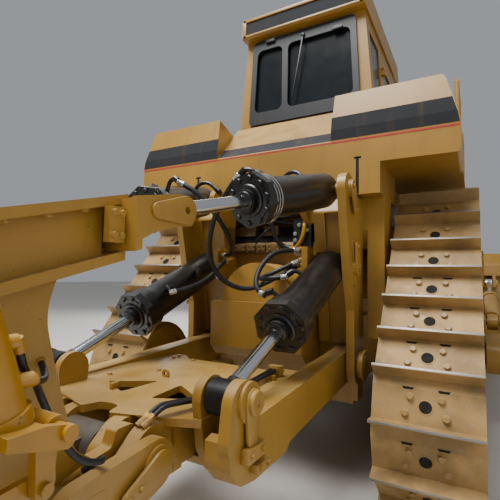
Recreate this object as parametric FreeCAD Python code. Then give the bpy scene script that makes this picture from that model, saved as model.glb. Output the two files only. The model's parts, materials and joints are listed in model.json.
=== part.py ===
# Large crawler bulldozer with raised sprockets, a semi-universal blade and a single-shank ripper.
# Millimetres. +Z is up, the blade faces -Y, the ripper is at +Y and +X is the machine's left.
# Side profiles are drawn in tractor coordinates, where Y is 0 at the middle of the track on the ground.
# The model is moved by ORIGIN_Y at the end, so that the origin is under the middle of the whole machine.

import FreeCAD, Part
import math
import os

V = FreeCAD.Vector

ORIGIN_Y = -497.55

# Track and undercarriage
GAUGE = 2550.0
TRACK_X = GAUGE / 2
SHOE_W = 610.0
GROUSER_H = 93.0
SHOE_T = 22.0
PIN_TO_SHOE = 100.0
RAIL_HALF_H = 75.0
RAIL_IN, RAIL_OUT = 60.0, 100.0
SHOES = 44
GROUND_PIN_Z = GROUSER_H + PIN_TO_SHOE
IDLER_R = 500.0
SPROCKET_R = 530.0
IDLER_Y = 1936.0
IDLER_Z = GROUND_PIN_Z + IDLER_R
SPROCKET_Y, SPROCKET_Z = 1080.0, 1720.0
ROLLER_R, ROLLER_COUNT = 130.0, 8
ROLLER_Z = GROUND_PIN_Z + RAIL_HALF_H + ROLLER_R

# Ripper linkage pivots, as (Y, Z) in tractor coordinates, and the X of each cylinder
LOW_PIVOT = (1960.0, 960.0)
LIFT_BASE = (2110.0, 1690.0)
TILT_BASE = (2250.0, 2260.0)
LIFT_EYE = (3550.0, 1085.0)
CARRIAGE_PIVOT = (3800.0, 860.0)
TILT_EYE = (3690.0, 1900.0)
LIFT_X = 568.0
TILT_BASE_X, TILT_EYE_X = 550.0, 300.0

# Blade linkage pivots, as (Y, Z) in tractor coordinates
TRUNNION = (-250.0, 760.0)
TRUNNION_X = 1750.0
BLADE_PIN = (-3205.0, 420.0)
BLADE_LIFT_BASE = (-2600.0, 2350.0)
BLADE_LIFT_EYE = (-3290.0, 860.0)
BLADE_LIFT_X = 880.0
BRACE_BASE = (-1750.0, 1010.0)
BRACE_EYE = (-3240.0, 1560.0)
BLADE_W, BLADE_H = 4860.0, 2120.0
BLADE_CENTRE_HALF = 1550.0
WING_DEG = 20.0
WING_LEN = 915.0
BLADE_HINGE_Y = -3400.0

# Pull hook at the front: its two ears stand one over the other, with an upright pin hole
HOOK_Y = -2490.0
HOOK_LOW, HOOK_TOP, HOOK_GAP = 730.0, 970.0, 80.0
HOOK_PIN_R = 36.0

# Hull, hood, cab and tank
HULL_HALF = 560.0
GROUND_CLEARANCE = 615.0
HOOD_HALF = 560.0
HOOD_FRONT, HOOD_REAR = -2330.0, -420.0
HOOD_TOP_FRONT, HOOD_TOP_REAR = 2780.0, 2960.0
CAB_FRONT, CAB_REAR = -380.0, 1300.0
CAB_FLOOR, CAB_TOP = 2330.0, 4230.0
CAB_HALF_LOW, CAB_HALF_TOP = 800.0, 650.0
CAB_WALL = 45.0
TANK_FRONT, TANK_REAR = 1360.0, 2020.0
TANK_LOW, TANK_TOP = 2260.0, 3100.0
TANK_HALF, TANK_HALF_TOP = 1470.0, 1370.0
NOTCH_HALF = 545.0


def box(x0, x1, y0, y1, z0, z1):
    return Part.makeBox(x1 - x0, y1 - y0, z1 - z0, V(x0, y0, z0))


def rounded_face(corners, place):
    """A flat face from corners (u, v) or (u, v, radius of the rounded corner); place puts (u, v) in space."""
    edges, first, last = [], None, None
    count = len(corners)
    for i, corner in enumerate(corners):
        here = place(corner[0], corner[1])
        radius = corner[2] if len(corner) > 2 else 0
        before, after = corners[i - 1], corners[(i + 1) % count]
        to_before, to_after = place(before[0], before[1]) - here, place(after[0], after[1]) - here
        start = end = here
        arc = None
        if radius:
            half = to_before.getAngle(to_after) / 2
            to_before.normalize()
            to_after.normalize()
            back = radius / math.tan(half)
            start, end = here + to_before * back, here + to_after * back
            middle = to_before + to_after
            middle.normalize()
            arc = Part.Arc(start, here + middle * (radius / math.sin(half) - radius), end).toShape()
        if last is None:
            first = start
        elif (start - last).Length > 1e-6:
            edges.append(Part.LineSegment(last, start).toShape())
        if arc:
            edges.append(arc)
        last = end
    if (first - last).Length > 1e-6:
        edges.append(Part.LineSegment(last, first).toShape())
    return Part.Face(Part.Wire(edges))


def side_plate(outline, x0, x1):
    """A plate from a closed (Y, Z) outline, between two X."""
    return rounded_face(outline, lambda y, z: V(x0, y, z)).extrude(V(x1 - x0, 0, 0))


def flat_plate(outline, z0, z1):
    """A plate from a closed (X, Y) outline, between two Z."""
    return rounded_face(outline, lambda x, y: V(x, y, z0)).extrude(V(0, 0, z1 - z0))


def front_plate(outline, y0, y1):
    """A plate from a closed (X, Z) outline, between two Y."""
    return rounded_face(outline, lambda x, z: V(x, y0, z)).extrude(V(0, y1 - y0, 0))


def rod(start, end, radius):
    """A round bar between two points."""
    axis = V(*end) - V(*start)
    return Part.makeCylinder(radius, axis.Length, V(*start), axis)


def cross_rod(at, x0, x1, radius):
    """A round bar along X at one (Y, Z)."""
    return rod((x0, at[0], at[1]), (x1, at[0], at[1]), radius)


def fuse(pieces):
    whole = pieces[0].multiFuse(pieces[1:])
    return whole.removeSplitter()


def mirrored(shape):
    return shape.mirror(V(0, 0, 0), V(1, 0, 0))


def both(shape):
    """The left piece with its mirror image, as one node of separate solids."""
    return Part.makeCompound(shape.Solids + mirrored(shape).Solids)


def solids(*pieces):
    return Part.makeCompound([s for p in pieces for s in p.Solids])


def hull_2d(circles):
    """The plate outline round a row of (Y, Z, radius) bosses, joined by outer tangents, as one face."""
    whole = None
    for (y0, z0, r0), (y1, z1, r1) in zip(circles, circles[1:]):
        along = math.atan2(z1 - z0, y1 - y0)
        span = math.hypot(y1 - y0, z1 - z0)
        lean = math.acos((r0 - r1) / span)
        corners = []
        for side, ends in ((1, ((y0, z0, r0), (y1, z1, r1))), (-1, ((y1, z1, r1), (y0, z0, r0)))):
            for y, z, r in ends:
                a = along + side * lean
                corners.append(V(0, y + r * math.cos(a), z + r * math.sin(a)))
        link = Part.Face(Part.makePolygon(corners + corners[:1]))
        circles = [Part.makeCircle(r, V(0, y, z), V(1, 0, 0)) for y, z, r in ((y0, z0, r0), (y1, z1, r1))]
        ends = [Part.Face(Part.Wire(circle)) for circle in circles]
        link = link.multiFuse(ends)
        whole = link if whole is None else whole.fuse(link)
    return whole.removeSplitter()


def boss_plate(circles, x0, x1):
    """A link plate with rounded bosses at its pins, between two X."""
    outline = hull_2d(circles)
    plate = outline.extrude(V(x1 - x0, 0, 0))
    plate.translate(V(x0, 0, 0))
    return plate


def tangent_angle(a, ra, b, rb):
    """The angle of the outward normal of the line that rests on two wheels, going round the loop."""
    dy, dz = b[0] - a[0], b[1] - a[1]
    return math.atan2(dz, dy) - math.acos((ra - rb) / math.hypot(dy, dz))


def track_pins():
    """The (Y, Z) of each chain pin, evenly spaced along the loop over the three wheels."""
    wheels = [((IDLER_Y, IDLER_Z), IDLER_R), ((SPROCKET_Y, SPROCKET_Z), SPROCKET_R), ((-IDLER_Y, IDLER_Z),
                                                                                      IDLER_R)]
    runs = []
    for i, (centre, radius) in enumerate(wheels):
        before, after = wheels[i - 1], wheels[(i + 1) % 3]
        start = tangent_angle(before[0], before[1], centre, radius)
        end = tangent_angle(centre, radius, after[0], after[1])
        sweep = (end - start) % (2 * math.pi)
        runs.append(("arc", centre, radius, start, sweep, radius * sweep))
        leave = (centre[0] + radius * math.cos(end), centre[1] + radius * math.sin(end))
        land = (after[0][0] + after[1] * math.cos(end), after[0][1] + after[1] * math.sin(end))
        runs.append(("line", leave, land, 0, 0, math.hypot(land[0] - leave[0], land[1] - leave[1])))
    total = sum(run[5] for run in runs)

    def at(s):
        for kind, a, b, start, sweep, length in runs:
            if s <= length:
                if kind == "arc":
                    angle = start + s / b
                    return (a[0] + b * math.cos(angle), a[1] + b * math.sin(angle))
                return (a[0] + (b[0] - a[0]) * s / length, a[1] + (b[1] - a[1]) * s / length)
            s -= length
        return at(0)

    return [at(total * k / SHOES) for k in range(SHOES)]


def track_outline(points_of_link):
    """A closed outline round the track: the same few (share of the link, height) points on every link."""
    pins = track_pins()
    outline = []
    for k, (y0, z0) in enumerate(pins):
        y1, z1 = pins[(k + 1) % SHOES]
        length = math.hypot(y1 - y0, z1 - z0)
        ty, tz = (y1 - y0) / length, (z1 - z0) / length
        for along, height in points_of_link:
            t = along * length
            outline.append((y0 + ty * t + tz * height, z0 + tz * t - ty * height))
    return outline


def track():
    """One left track: the shoe band with its grousers, and the two chain rails under it."""
    x0, x1 = TRACK_X - SHOE_W / 2, TRACK_X + SHOE_W / 2
    tip = PIN_TO_SHOE + GROUSER_H
    shoe_outer = [(0.06, PIN_TO_SHOE), (0.09, tip), (0.16, tip), (0.21, PIN_TO_SHOE), (0.97, PIN_TO_SHOE)]
    shoe_inner = [(0.1, PIN_TO_SHOE - SHOE_T), (0.9, PIN_TO_SHOE - SHOE_T)]
    band = side_plate(track_outline(shoe_outer), x0, x1)
    band = band.cut(side_plate(track_outline(shoe_inner), x0 - 1, x1 + 1))
    rails = []
    for side in (-1, 1):
        a, b = sorted((TRACK_X + side * RAIL_IN, TRACK_X + side * RAIL_OUT))
        rail = side_plate(track_outline([(0.1, PIN_TO_SHOE - 6), (0.9, PIN_TO_SHOE - 6)]), a, b)
        rails.append(rail.cut(side_plate(track_outline([(0.1, -RAIL_HALF_H), (0.9, -RAIL_HALF_H)]), a - 1,
                                         b + 1)))
    return band.multiFuse(rails)


def roller_frame():
    """One left roller frame: the box beam, the roller guards, the idler forks, the push arm's trunnion,
    and the pivot shaft and equaliser end that join it to the hull."""
    x = TRACK_X
    beam = box(x - 185, x + 185, -1450, 1450, 560, 880)
    pieces = [beam]
    for side in (-1, 1):
        a, b = sorted((x + side * 160, x + side * 185))
        pieces.append(side_plate([(-1530, 330), (1530, 330), (1600, 560), (-1600, 560)], a, b))
        a, b = sorted((x + side * 108, x + side * 150))
        for end in (-1, 1):
            fork = [(end * 1300, 590), (end * 2050, 610), (end * 2060, 780), (end * 1300, 850)]
            pieces.append(side_plate(fork, a, b))
    pieces.append(cross_rod(TRUNNION, x + 150, TRUNNION_X - 128, 150))
    pieces.append(cross_rod(TRUNNION, x + 150, TRUNNION_X + 118, 90))
    for y0, y1, z0, z1 in ((250, 480, 640, 830), (-1350, -1180, 700, 860)):
        pieces.append(box(HULL_HALF, x - 180, y0, y1, z0, z1))
    whole = fuse(pieces)
    for end in (-1, 1):
        whole = whole.cut(cross_rod((end * IDLER_Y, IDLER_Z), x - 200, x + 200, 62))
    return whole


def idlers():
    """The front and rear idler of the left track, each with its axle."""
    made = []
    for end in (-1, 1):
        at = (end * IDLER_Y, IDLER_Z)
        rim = IDLER_R - RAIL_HALF_H - 20
        wheel = cross_rod(at, TRACK_X - 98, TRACK_X + 98, rim)
        centre = cross_rod(at, TRACK_X - 52, TRACK_X + 52, rim + 45)
        dish = cross_rod(at, TRACK_X + 60, TRACK_X + 99, rim - 70)
        dish = dish.cut(cross_rod(at, TRACK_X + 50, TRACK_X + 100, 160))
        dish_in = cross_rod(at, TRACK_X - 99, TRACK_X - 60, rim - 70)
        dish_in = dish_in.cut(cross_rod(at, TRACK_X - 100, TRACK_X - 50, 160))
        axle = cross_rod(at, TRACK_X - 155, TRACK_X + 155, 62)
        made.append(fuse([wheel.cut(dish).cut(dish_in), centre, axle]))
    return solids(*made)


def rollers():
    """The row of track rollers under the left frame."""
    made = []
    for i in range(ROLLER_COUNT):
        at = (-1420 + 2840 * i / (ROLLER_COUNT - 1), ROLLER_Z)
        tread = cross_rod(at, TRACK_X - 125, TRACK_X + 125, ROLLER_R)
        flanges = [cross_rod(at, TRACK_X + s * 108 - (17 if s < 0 else 0),
                             TRACK_X + s * 108 + (0 if s < 0 else 17), ROLLER_R + 20) for s in (-1, 1)]
        axle = cross_rod(at, TRACK_X - 160, TRACK_X + 160, 42)
        made.append(fuse([tread, axle] + flanges))
    return solids(*made)


def sprocket():
    """The left sprocket rim with its teeth, and the hub cover outside it."""
    teeth = 25
    outline = []
    for i in range(teeth):
        for share, radius in ((0.0, 492), (0.3, 492), (0.42, 556), (0.58, 556), (0.7, 492)):
            a = 2 * math.pi * (i + share) / teeth
            outline.append((SPROCKET_Y + radius * math.cos(a), SPROCKET_Z + radius * math.sin(a)))
    rim = side_plate(outline, TRACK_X - 44, TRACK_X + 44)
    at = (SPROCKET_Y, SPROCKET_Z)
    hub = cross_rod(at, TRACK_X + 20, TRACK_X + 190, 330)
    cover = Part.makeCone(330, 215, 110, V(TRACK_X + 190, *at), V(1, 0, 0))
    cap = cross_rod(at, TRACK_X + 300, TRACK_X + 330, 150)
    return fuse([rim, hub, cover, cap])


def final_drive():
    at = (SPROCKET_Y, SPROCKET_Z)
    flange = cross_rod(at, TRACK_X - 190, TRACK_X - 44, 400)
    neck = cross_rod(at, 480, TRACK_X - 189, 300)
    return fuse([flange, neck])


def main_frame():
    """The hull between the tracks: bottom guard, side rails and the equaliser and pull hook at the front."""
    outline = [(-2380, 800), (-2150, GROUND_CLEARANCE), (1560, GROUND_CLEARANCE), (1860, 760), (1860, 1240),
               (-2380, 1240)]
    hull = side_plate(outline, -HULL_HALF, HULL_HALF)
    middle = (HOOK_LOW + HOOK_TOP) / 2
    hook = flat_plate([(-110, -2380), (110, -2380), (110, -2570, 60), (-110, -2570, 60)], HOOK_LOW, HOOK_TOP)
    hook = hook.cut(box(-120, 120, -2600, -2420, middle - HOOK_GAP / 2, middle + HOOK_GAP / 2))
    hook = hook.cut(rod((0, HOOK_Y, HOOK_LOW - 10), (0, HOOK_Y, HOOK_TOP + 10), HOOK_PIN_R))
    return fuse([hull, hook])


def rear_case():
    """The gear case behind the cab floor, its round-topped rear cover between the ripper towers,
    and the wings that close the gap between the towers and the tracks."""
    case = side_plate([(420, 1240), (1860, 1240), (1860, 1900, 80), (1700, 2100, 80), (420, 2100)], -480, 480)
    cover = side_plate([(1860, 960), (2180, 960), (2260, 1040), (2260, 1410), (1860, 1410)], -410, 410)
    dome = rod((0, 1860, 1405), (0, 2230, 1405), 322)
    pieces = [case, cover, dome.cut(box(-500, 500, 1800, 2300, 1000, 1400))]
    for s in (-1, 1):
        a, b = sorted((s * 479, s * 930))
        pieces.append(side_plate([(1560, 1850), (1790, 1850), (1859, 2000), (1859, 2259), (1560, 2259)], a, b))
        a, b = sorted((s * 800, s * 930))
        pieces.append(side_plate([(1600, 1150), (1859, 1150), (1859, 2001), (1600, 2001)], a, b))
    return fuse(pieces)


def ripper_towers():
    """The bracket at the tractor's back: two towers with their cylinder pins and the lift frame's pivot bores."""
    plate = boss_plate([(*LOW_PIVOT, 150), (1990, 1400, 130), (*LIFT_BASE, 118), (*TILT_BASE, 112)], 702, 762)
    root = side_plate([(1860, 700), (2010, 700), (2060, 1500), (2170, 2240), (1860, 2240)], 702, 762)
    rear = [(1860, 640), (1905, 640), (1920, 1040), (2030, 1840), (2090, 2130, 40), (2010, 2240), (1860, 2240)]
    web = side_plate(rear, 430, 703)
    pocket = side_plate([(1895, 640), (1905, 640), (1940, 1000), (2050, 1840), (2110, 2120), (2060, 2120),
                         (1895, 1000)], 520, 660)
    inner_low = boss_plate([(*LIFT_BASE, 104), (1965, 1690, 104)], 385, 432)
    inner_high = boss_plate([(*TILT_BASE, 88), (2060, 2130, 80)], 352, 400)
    bridge = box(352, 436, 1985, 2072, 2050, 2200)
    strap = side_plate([(2085, 1560, 20), (2130, 1560, 20), (2190, 1900, 20), (2120, 1900, 20)], 762, 778)
    tower = fuse([plate, root, web.cut(pocket), strap])
    tower = tower.cut(cross_rod(LOW_PIVOT, 600, 800, 66)).cut(cross_rod(LOW_PIVOT, 425, 697, 152))
    tower = tower.cut(cross_rod(LIFT_BASE, 433, 701, 152)).cut(cross_rod(TILT_BASE, 401, 701, 152))
    tower = fuse([tower, inner_low, inner_high, bridge])
    pins = [cross_rod(LIFT_BASE, 385, 785, 45), cross_rod(TILT_BASE, 352, 785, 45)]
    for at in (LIFT_BASE, TILT_BASE):
        pins.append(cross_rod(at, 762, 785, 62))
    left = fuse([tower] + pins)
    cross = box(-HULL_HALF, HULL_HALF, 1860, 1900, 640, 760)
    right_routes = [TILT_HEAD_ROUTE, TILT_CAP_ROUTE, LIFT_HEAD_ROUTE, LIFT_CAP_ROUTE]
    manifolds = [manifold(-1, right_routes), manifold(1, [LEFT_TILT_ROUTE, LEFT_LIFT_ROUTE])]
    return fuse([left, mirrored(left), cross] + manifolds)


def lift_frame():
    """The ripper's lower link: two deep box arms, a decked centre with its opening and notch,
    arched lugs for the carriage, and the clevises that hold the lift cylinders' rods."""
    arm = [(1960, 842), (3105, 770), (3150, 735), (3480, 735), (3610, 760, 60), (3690, 850, 60), (3690, 950),
           (3500, 996), (2000, 1068), (1960, 1078)]
    half = [side_plate(arm, 568, 690), cross_rod(LOW_PIVOT, 568, 690, 118)]
    half.append(boss_plate([(3535, 1072, 98), (3530, 880, 70), (3490, 775, 45)], 455, 500))
    half.append(boss_plate([(3580, 1075, 105), (3610, 950, 95), (3480, 860, 110)], 640, 690))
    half.append(cross_rod(LIFT_EYE, 690, 706, 88))
    half += [cross_rod(LOW_PIVOT, 690, 759, 61), cross_rod(LOW_PIVOT, 764, 792, 96)]
    deck = [(0, 2650), (330, 2650), (420, 2560, 60), (569, 2560), (569, 3600), (470, 3640), (350, 3690, 30),
            (90, 3770, 20),
            (60, 3680, 30), (0, 3670)]
    hole = flat_plate([(80, 3245, 12), (325, 3405, 12), (105, 3512, 12)], 700, 1010)
    half += [flat_plate(deck, 962, 998).cut(hole), flat_plate(deck[:5] + [(569, 3500), (0, 3500)], 740,
                                                              775).cut(hole)]
    half += [box(-1, 569, 2650, 2690, 770, 970), box(330, 370, 2690, 3640, 770, 970)]
    half.append(box(-1, 371, 3560, 3600, 770, 970))
    for x0, x1 in ((122, 190), (280, 350)):
        half.append(side_plate([(3560, 740), (3560, 975), (3790, 990, 120), (3930, 870, 90),
                                (3870, 735, 60)], x0, x1))
    left = fuse(half).cut(cross_rod(CARRIAGE_PIVOT, 100, 500, 56))
    left = left.cut(cross_rod(LIFT_EYE, 503, 637, 152)).cut(cross_rod(CARRIAGE_PIVOT, 197, 273, 150))
    clips = [box(-482, -398, y - 16, y + 16, 990, z) for y, z in ((2860, 1025.3), (3130, 1011.8),
                                                                  (3390, 1017.2))]
    for shift in TWIN_SHIFTS:
        route = shifted(FRAME_ROUTE, shift)
        clips += [end_nub(route[0], route[1], 16, 60), end_nub(route[-1], route[-2], 15, 52)]
    clips.append(box(-482, -398, 2735, 2790, 990, 1062))
    return fuse([left, mirrored(left)] + clips)


def carriage_pins():
    """The pin that joins the lift frame and the carriage, with the thick tube and the stop at its middle."""
    stop = side_plate([(3800, 790), (3800, 925), (4150, 890, 40), (4150, 805, 40)], -60, 60)
    return fuse([cross_rod(CARRIAGE_PIVOT, -402, 402, 54), cross_rod(CARRIAGE_PIVOT, -117, 117, 95), stop])


def carriage_cheek():
    """The (Y, Z) outline of the carriage's side plate: the column, the deep notch over the pivot and the lug."""
    return [(3790, 742, 60), (4120, 690, 80), (4620, 690), (5000, 800, 100), (5060, 1640), (3935, 1720),
            (4160, 1640, 60), (4212, 1480, 260), (4165, 1300, 200), (4070, 980, 80), (3985, 915, 30),
            (3900, 925, 25), (3875, 990, 20), (3780, 990, 60),
            (3690, 880, 80)]


def carriage():
    """The ripper carriage: two side plates, the flanged top beams, the eye lugs and the shank's pocket."""
    half = [side_plate(carriage_cheek(), 205, 265)]
    leaf = boss_plate([(*CARRIAGE_PIVOT, 100), (4140, 800, 130)], 360, 420)
    half += [leaf, box(264, 421, 4060, 4240, 740, 880)]
    slope = math.tan(math.radians(15.0))

    def beam_line(y, high):
        return (y, high - (y - 3900) * slope)

    web = [beam_line(3905, 1930), beam_line(5085, 1930), beam_line(5085, 1690), beam_line(3945, 1690)]
    half.append(side_plate(web, 205, 240))
    half.append(side_plate([beam_line(4010, 1910), beam_line(5085, 1910), beam_line(5085, 1700),
                            beam_line(4010, 1700)], 239, 290))
    for high, low, start in ((1945, 1908, 3940), (1722, 1685, 3945)):
        flange = [beam_line(start, high), beam_line(5090, high), beam_line(5090, low), beam_line(start, low)]
        half.append(side_plate(flange, 205, 350))
    half.append(side_plate([(3942, 1918), (3978, 1910), (3978, 1705), (3942, 1715)], 205, 436))
    for x0, x1 in ((196, 228), (412, 436)):
        half.append(side_plate([(3625, 1905, 40), (3705, 1972, 50), (3978, 1915), (3978, 1735),
                                (3880, 1785, 40),
                                (3775, 1815, 40), (3632, 1838, 25)], x0, x1))
    left = fuse(half).cut(cross_rod(CARRIAGE_PIVOT, 100, 500, 56)).cut(cross_rod(TILT_EYE, 405, 440, 18))
    cap = cross_rod(CARRIAGE_PIVOT, 407, 433, 78)
    left = fuse([left, cap]).cut(cross_rod(CARRIAGE_PIVOT, 404, 436, 17))
    pocket = []
    for low_z, high_z in ((1380, 1600), (760, 980)):
        pocket.append(box(-206, 206, 4480, 5040, low_z, high_z))
    wall = box(-206, 206, 4250, 4310, 760, 1600)
    nubs = [end_nub(PULLER_LOW_ROUTE[0], PULLER_LOW_ROUTE[1], 15, 80), end_nub(PULLER_TOP_ROUTE[-1],
                                                                               PULLER_TOP_ROUTE[-2], 15, 24)]
    whole = fuse([left, mirrored(left), wall] + pocket + nubs)
    return whole.cut(shank_bar(12.0))


SHANK_LEAN = 8.0
SHANK_Y, SHANK_Z = 4750.0, 1180.0


def shank_bar(gap):
    """The straight bar of the shank, grown by a gap, leaning with the carriage."""
    bar = box(-45 - gap, 45 + gap, -190 - gap, 190 + gap, -820 - gap, 1250 + gap)
    bar.rotate(V(0, 0, 0), V(1, 0, 0), -SHANK_LEAN)
    bar.translate(V(0, SHANK_Y, SHANK_Z))
    return bar


def shank():
    """The ripper shank: the drilled bar with its point swept forward."""
    bar = box(-45, 45, -190, 190, -700, 1250)
    foot = side_plate([(-190, -700), (190, -700), (130, -860, 120), (-150, -985), (-380, -985),
                       (-300, -860, 60)], -45, 45)
    whole = fuse([bar, foot])
    for z in (300, 560, 820, 1080):
        whole = whole.cut(rod((-60, 0, z), (60, 0, z), 45))
    whole.rotate(V(0, 0, 0), V(1, 0, 0), -SHANK_LEAN)
    whole.translate(V(0, SHANK_Y, SHANK_Z))
    return whole


def cylinder_pair(base, eye, end_share, barrel_r, rod_r, eye_r, rod_start, eye_w=104.0, tail=0.0,
                  flange_r=0.0, back=0.0):
    """A hydraulic cylinder between two (X, Y, Z) pins: the barrel solid and the rod solid.

    rod_start is where the rod ends inside the barrel. A cylinder held at its middle has its tail above
    the pin, one with a back ends in a bored block just behind its pin, and the others end in an eye."""
    a, b = V(*base), V(*eye)
    axis = b - a
    length = axis.Length
    axis.normalize()
    along = FreeCAD.Rotation(V(0, 0, 1), axis)
    base_r = eye_r * 1.38

    def tube(radius, start, end):
        return Part.makeCylinder(radius, end - start, a + axis * start, axis)

    def eight_sided(radius, start, end):
        corners = [V(radius * math.cos(math.pi * (k + 0.5) / 4), radius * math.sin(math.pi * (k + 0.5) / 4),
                     0) for k in range(8)]
        plate = Part.Face(Part.makePolygon(corners + corners[:1])).extrude(V(0, 0, end - start))
        plate.Placement = FreeCAD.Placement(a + axis * start, along)
        return plate

    mouth = length * end_share
    start = -tail if tail else (-back if back else base_r + 32)
    chamfer = 28 if back else 0
    pieces = [tube(barrel_r, start + chamfer, mouth), tube(rod_r * 1.75, mouth, mouth + 40)]
    if flange_r:
        pieces += [eight_sided(flange_r, mouth - 62, mouth - 6), tube(flange_r * 0.9, mouth - 150, mouth - 60)]
    else:
        pieces.append(tube(barrel_r * 1.16, mouth - barrel_r * 0.8, mouth))
    if tail:
        pieces.append(tube(barrel_r * 1.25, -75, 75))
        floor = start + 45
    elif back:
        pieces.append(Part.makeCone(barrel_r - chamfer, barrel_r, chamfer, a + axis * start, axis))
        floor = 130
    else:
        pieces += [Part.makeCylinder(base_r, eye_w * 1.3, a - V(eye_w * 0.65, 0, 0), V(1, 0, 0)),
                   tube(base_r * 0.62, 0, start + 1)]
        floor = start + 30
    body = fuse(pieces).cut(tube(rod_r + 1.5, floor, mouth + 100))
    if not tail:
        body = body.cut(Part.makeCylinder(47, 400, a - V(200, 0, 0), V(1, 0, 0)))
    shaft = tube(rod_r, rod_start, length - eye_r * 0.6)
    collar = tube(rod_r * 1.15, length - eye_r - 22, length - eye_r * 0.5)
    ring = Part.makeCylinder(eye_r, eye_w, b - V(eye_w / 2, 0, 0), V(1, 0, 0))
    return body, fuse([shaft, collar, ring])


HOSE_R = 18.0
THIN_HOSE_R = 11.0
# Faces, left and right of the middle, where the hoses meet the elbows that swing with the cylinders
TILT_ELBOW_X, LIFT_ELBOW_X = 250.0, 385.0

# Hose routes on the right side as (X, Y, Z) points, each from its cylinder to the manifold on the tower
TILT_HEAD_ROUTE = [(-250, 2930, 2262), (-150, 2912, 2168), (-25, 2870, 2020), (62, 2810, 1855),
                   (95, 2730, 1690), (40, 2620, 1560), (-70, 2480, 1510), (-180, 2350, 1580),
                   (-262, 2228, 1652), (-345, 2112, 1722)]
TILT_CAP_ROUTE = [(-250, 2400, 2300), (-205, 2380, 2220), (-180, 2350, 2120), (-172, 2310, 2010),
                  (-190, 2260, 1905),
                  (-240, 2200, 1830), (-345, 2130, 1800)]
LIFT_HEAD_ROUTE = [(-385, 2820, 1500), (-310, 2770, 1520), (-245, 2690, 1580), (-215, 2580, 1670),
                   (-225, 2460, 1760),
                   (-262, 2345, 1815), (-345, 2190, 1825)]
LIFT_CAP_ROUTE = [(-385, 2470, 1621), (-308, 2515, 1607), (-220, 2506, 1598), (-154, 2446, 1600),
                  (-135, 2360, 1612),
                  (-168, 2288, 1642), (-245, 2235, 1685), (-345, 2185, 1738)]
LEFT_TILT_ROUTE = [(250, 2930, 2262), (170, 2905, 2225), (95, 2850, 2150), (45, 2760, 2050), (35, 2640, 1950),
                   (70, 2500, 1870), (140, 2370, 1815), (240, 2260, 1790), (345, 2180, 1790)]
LEFT_LIFT_ROUTE = [(385, 2830, 1490), (320, 2750, 1510), (280, 2630, 1545), (270, 2500, 1600),
                   (280, 2370, 1670),
                   (310, 2260, 1725), (345, 2140, 1740)]
FRAME_ROUTE = [(-425, 2800, 1040), (-425, 3130, 1023), (-418, 3390, 1028), (-352, 3600, 1045),
               (-318, 3690, 1046),
               (-305, 3750, 1010)]
TWIN_SHIFTS = (0, -28)
PULLER_LOW_ROUTE = [(-325, 4080, 925), (-388, 4046, 976), (-455, 4112, 998), (-450, 4195, 1030),
                    (-415, 4240, 1105), (-395, 4272, 1190), (-408, 4312, 1262), (-450, 4350, 1302),
                    (-500, 4392, 1330)]
PULLER_TOP_ROUTE = [(-500, 4434, 1412), (-493, 4418, 1368), (-465, 4382, 1330), (-420, 4330, 1302),
                    (-370, 4272, 1290),
                    (-322, 4240, 1295), (-274, 4222, 1318)]


def route_wire(points, share=0.45):
    """Straight runs joined by tangent arcs, and the arcs' radii."""
    at = [V(*point) for point in points]
    edges = []
    radii = []
    start = at[0]
    for before, here, after in zip(at, at[1:], at[2:]):
        back, ahead = before - here, after - here
        reach = share * min(back.Length, ahead.Length)
        back.normalize()
        ahead.normalize()
        half_turn = (math.pi - back.getAngle(ahead)) / 2
        radii.append(reach / math.tan(half_turn))
        into, out = here + back * reach, here + ahead * reach
        middle = back + ahead
        middle.normalize()
        centre_far = radii[-1] / math.cos(half_turn)
        top = here + middle * (centre_far - radii[-1])
        edges.append(Part.LineSegment(start, into).toShape())
        edges.append(Part.Arc(into, top, out).toShape())
        start = out
    edges.append(Part.LineSegment(start, at[-1]).toShape())
    return Part.Wire(edges), radii


def tube_along(points, radius, share=0.45):
    path, radii = route_wire(points, share)
    first = V(*points[1]) - V(*points[0])
    circle = Part.Wire(Part.makeCircle(radius, V(*points[0]), first))
    return path.makePipeShell([circle], True, False), path.Length, radii


def hose(name, points, radius=HOSE_R, face=None):
    """A round hose along its route; says how long it is and how tight it turns. A hose that meets a swinging
    elbow starts on an upright face, so that the elbow slides past it."""
    tube, length, radii = tube_along(points, radius)
    if face is not None:
        start, step = V(*points[0]), V(*points[1]) - V(*points[0])
        step.normalize()
        stub = rod(start - step * radius * 1.5, start + step, radius)
        tube = cut_inside(fuse([tube, stub]), face - 0.4 * math.copysign(1, face))
    turns = " ".join(str(round(r / radius / 2, 1)) for r in radii)
    print(f"{name}: {length / 1000:.3f} m, turn radii in diameters {turns}")
    return tube


def shifted(route, shift):
    return [(x + shift, y, z) for x, y, z in route]


def end_nub(point, toward, radius, length):
    """A fitting that ends in the plane where a hose begins, on the hose's line."""
    step = V(*toward) - V(*point)
    step.normalize()
    return Part.makeCylinder(radius, length, V(*point) - step * length, step)


def cut_inside(shape, x):
    """Keeps the part of a shape that is nearer the middle of the machine than x."""
    side = 1 if x > 0 else -1
    a, b = sorted((x, side * 3000))
    return shape.cut(box(a, b, -5000, 6000, -100, 6000))


def cut_outside(shape, x):
    """Keeps the part of a shape that is farther from the middle than x."""
    side = 1 if x > 0 else -1
    a, b = sorted((x, -side * 3000))
    return shape.cut(box(a, b, -5000, 6000, -100, 6000))


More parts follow.
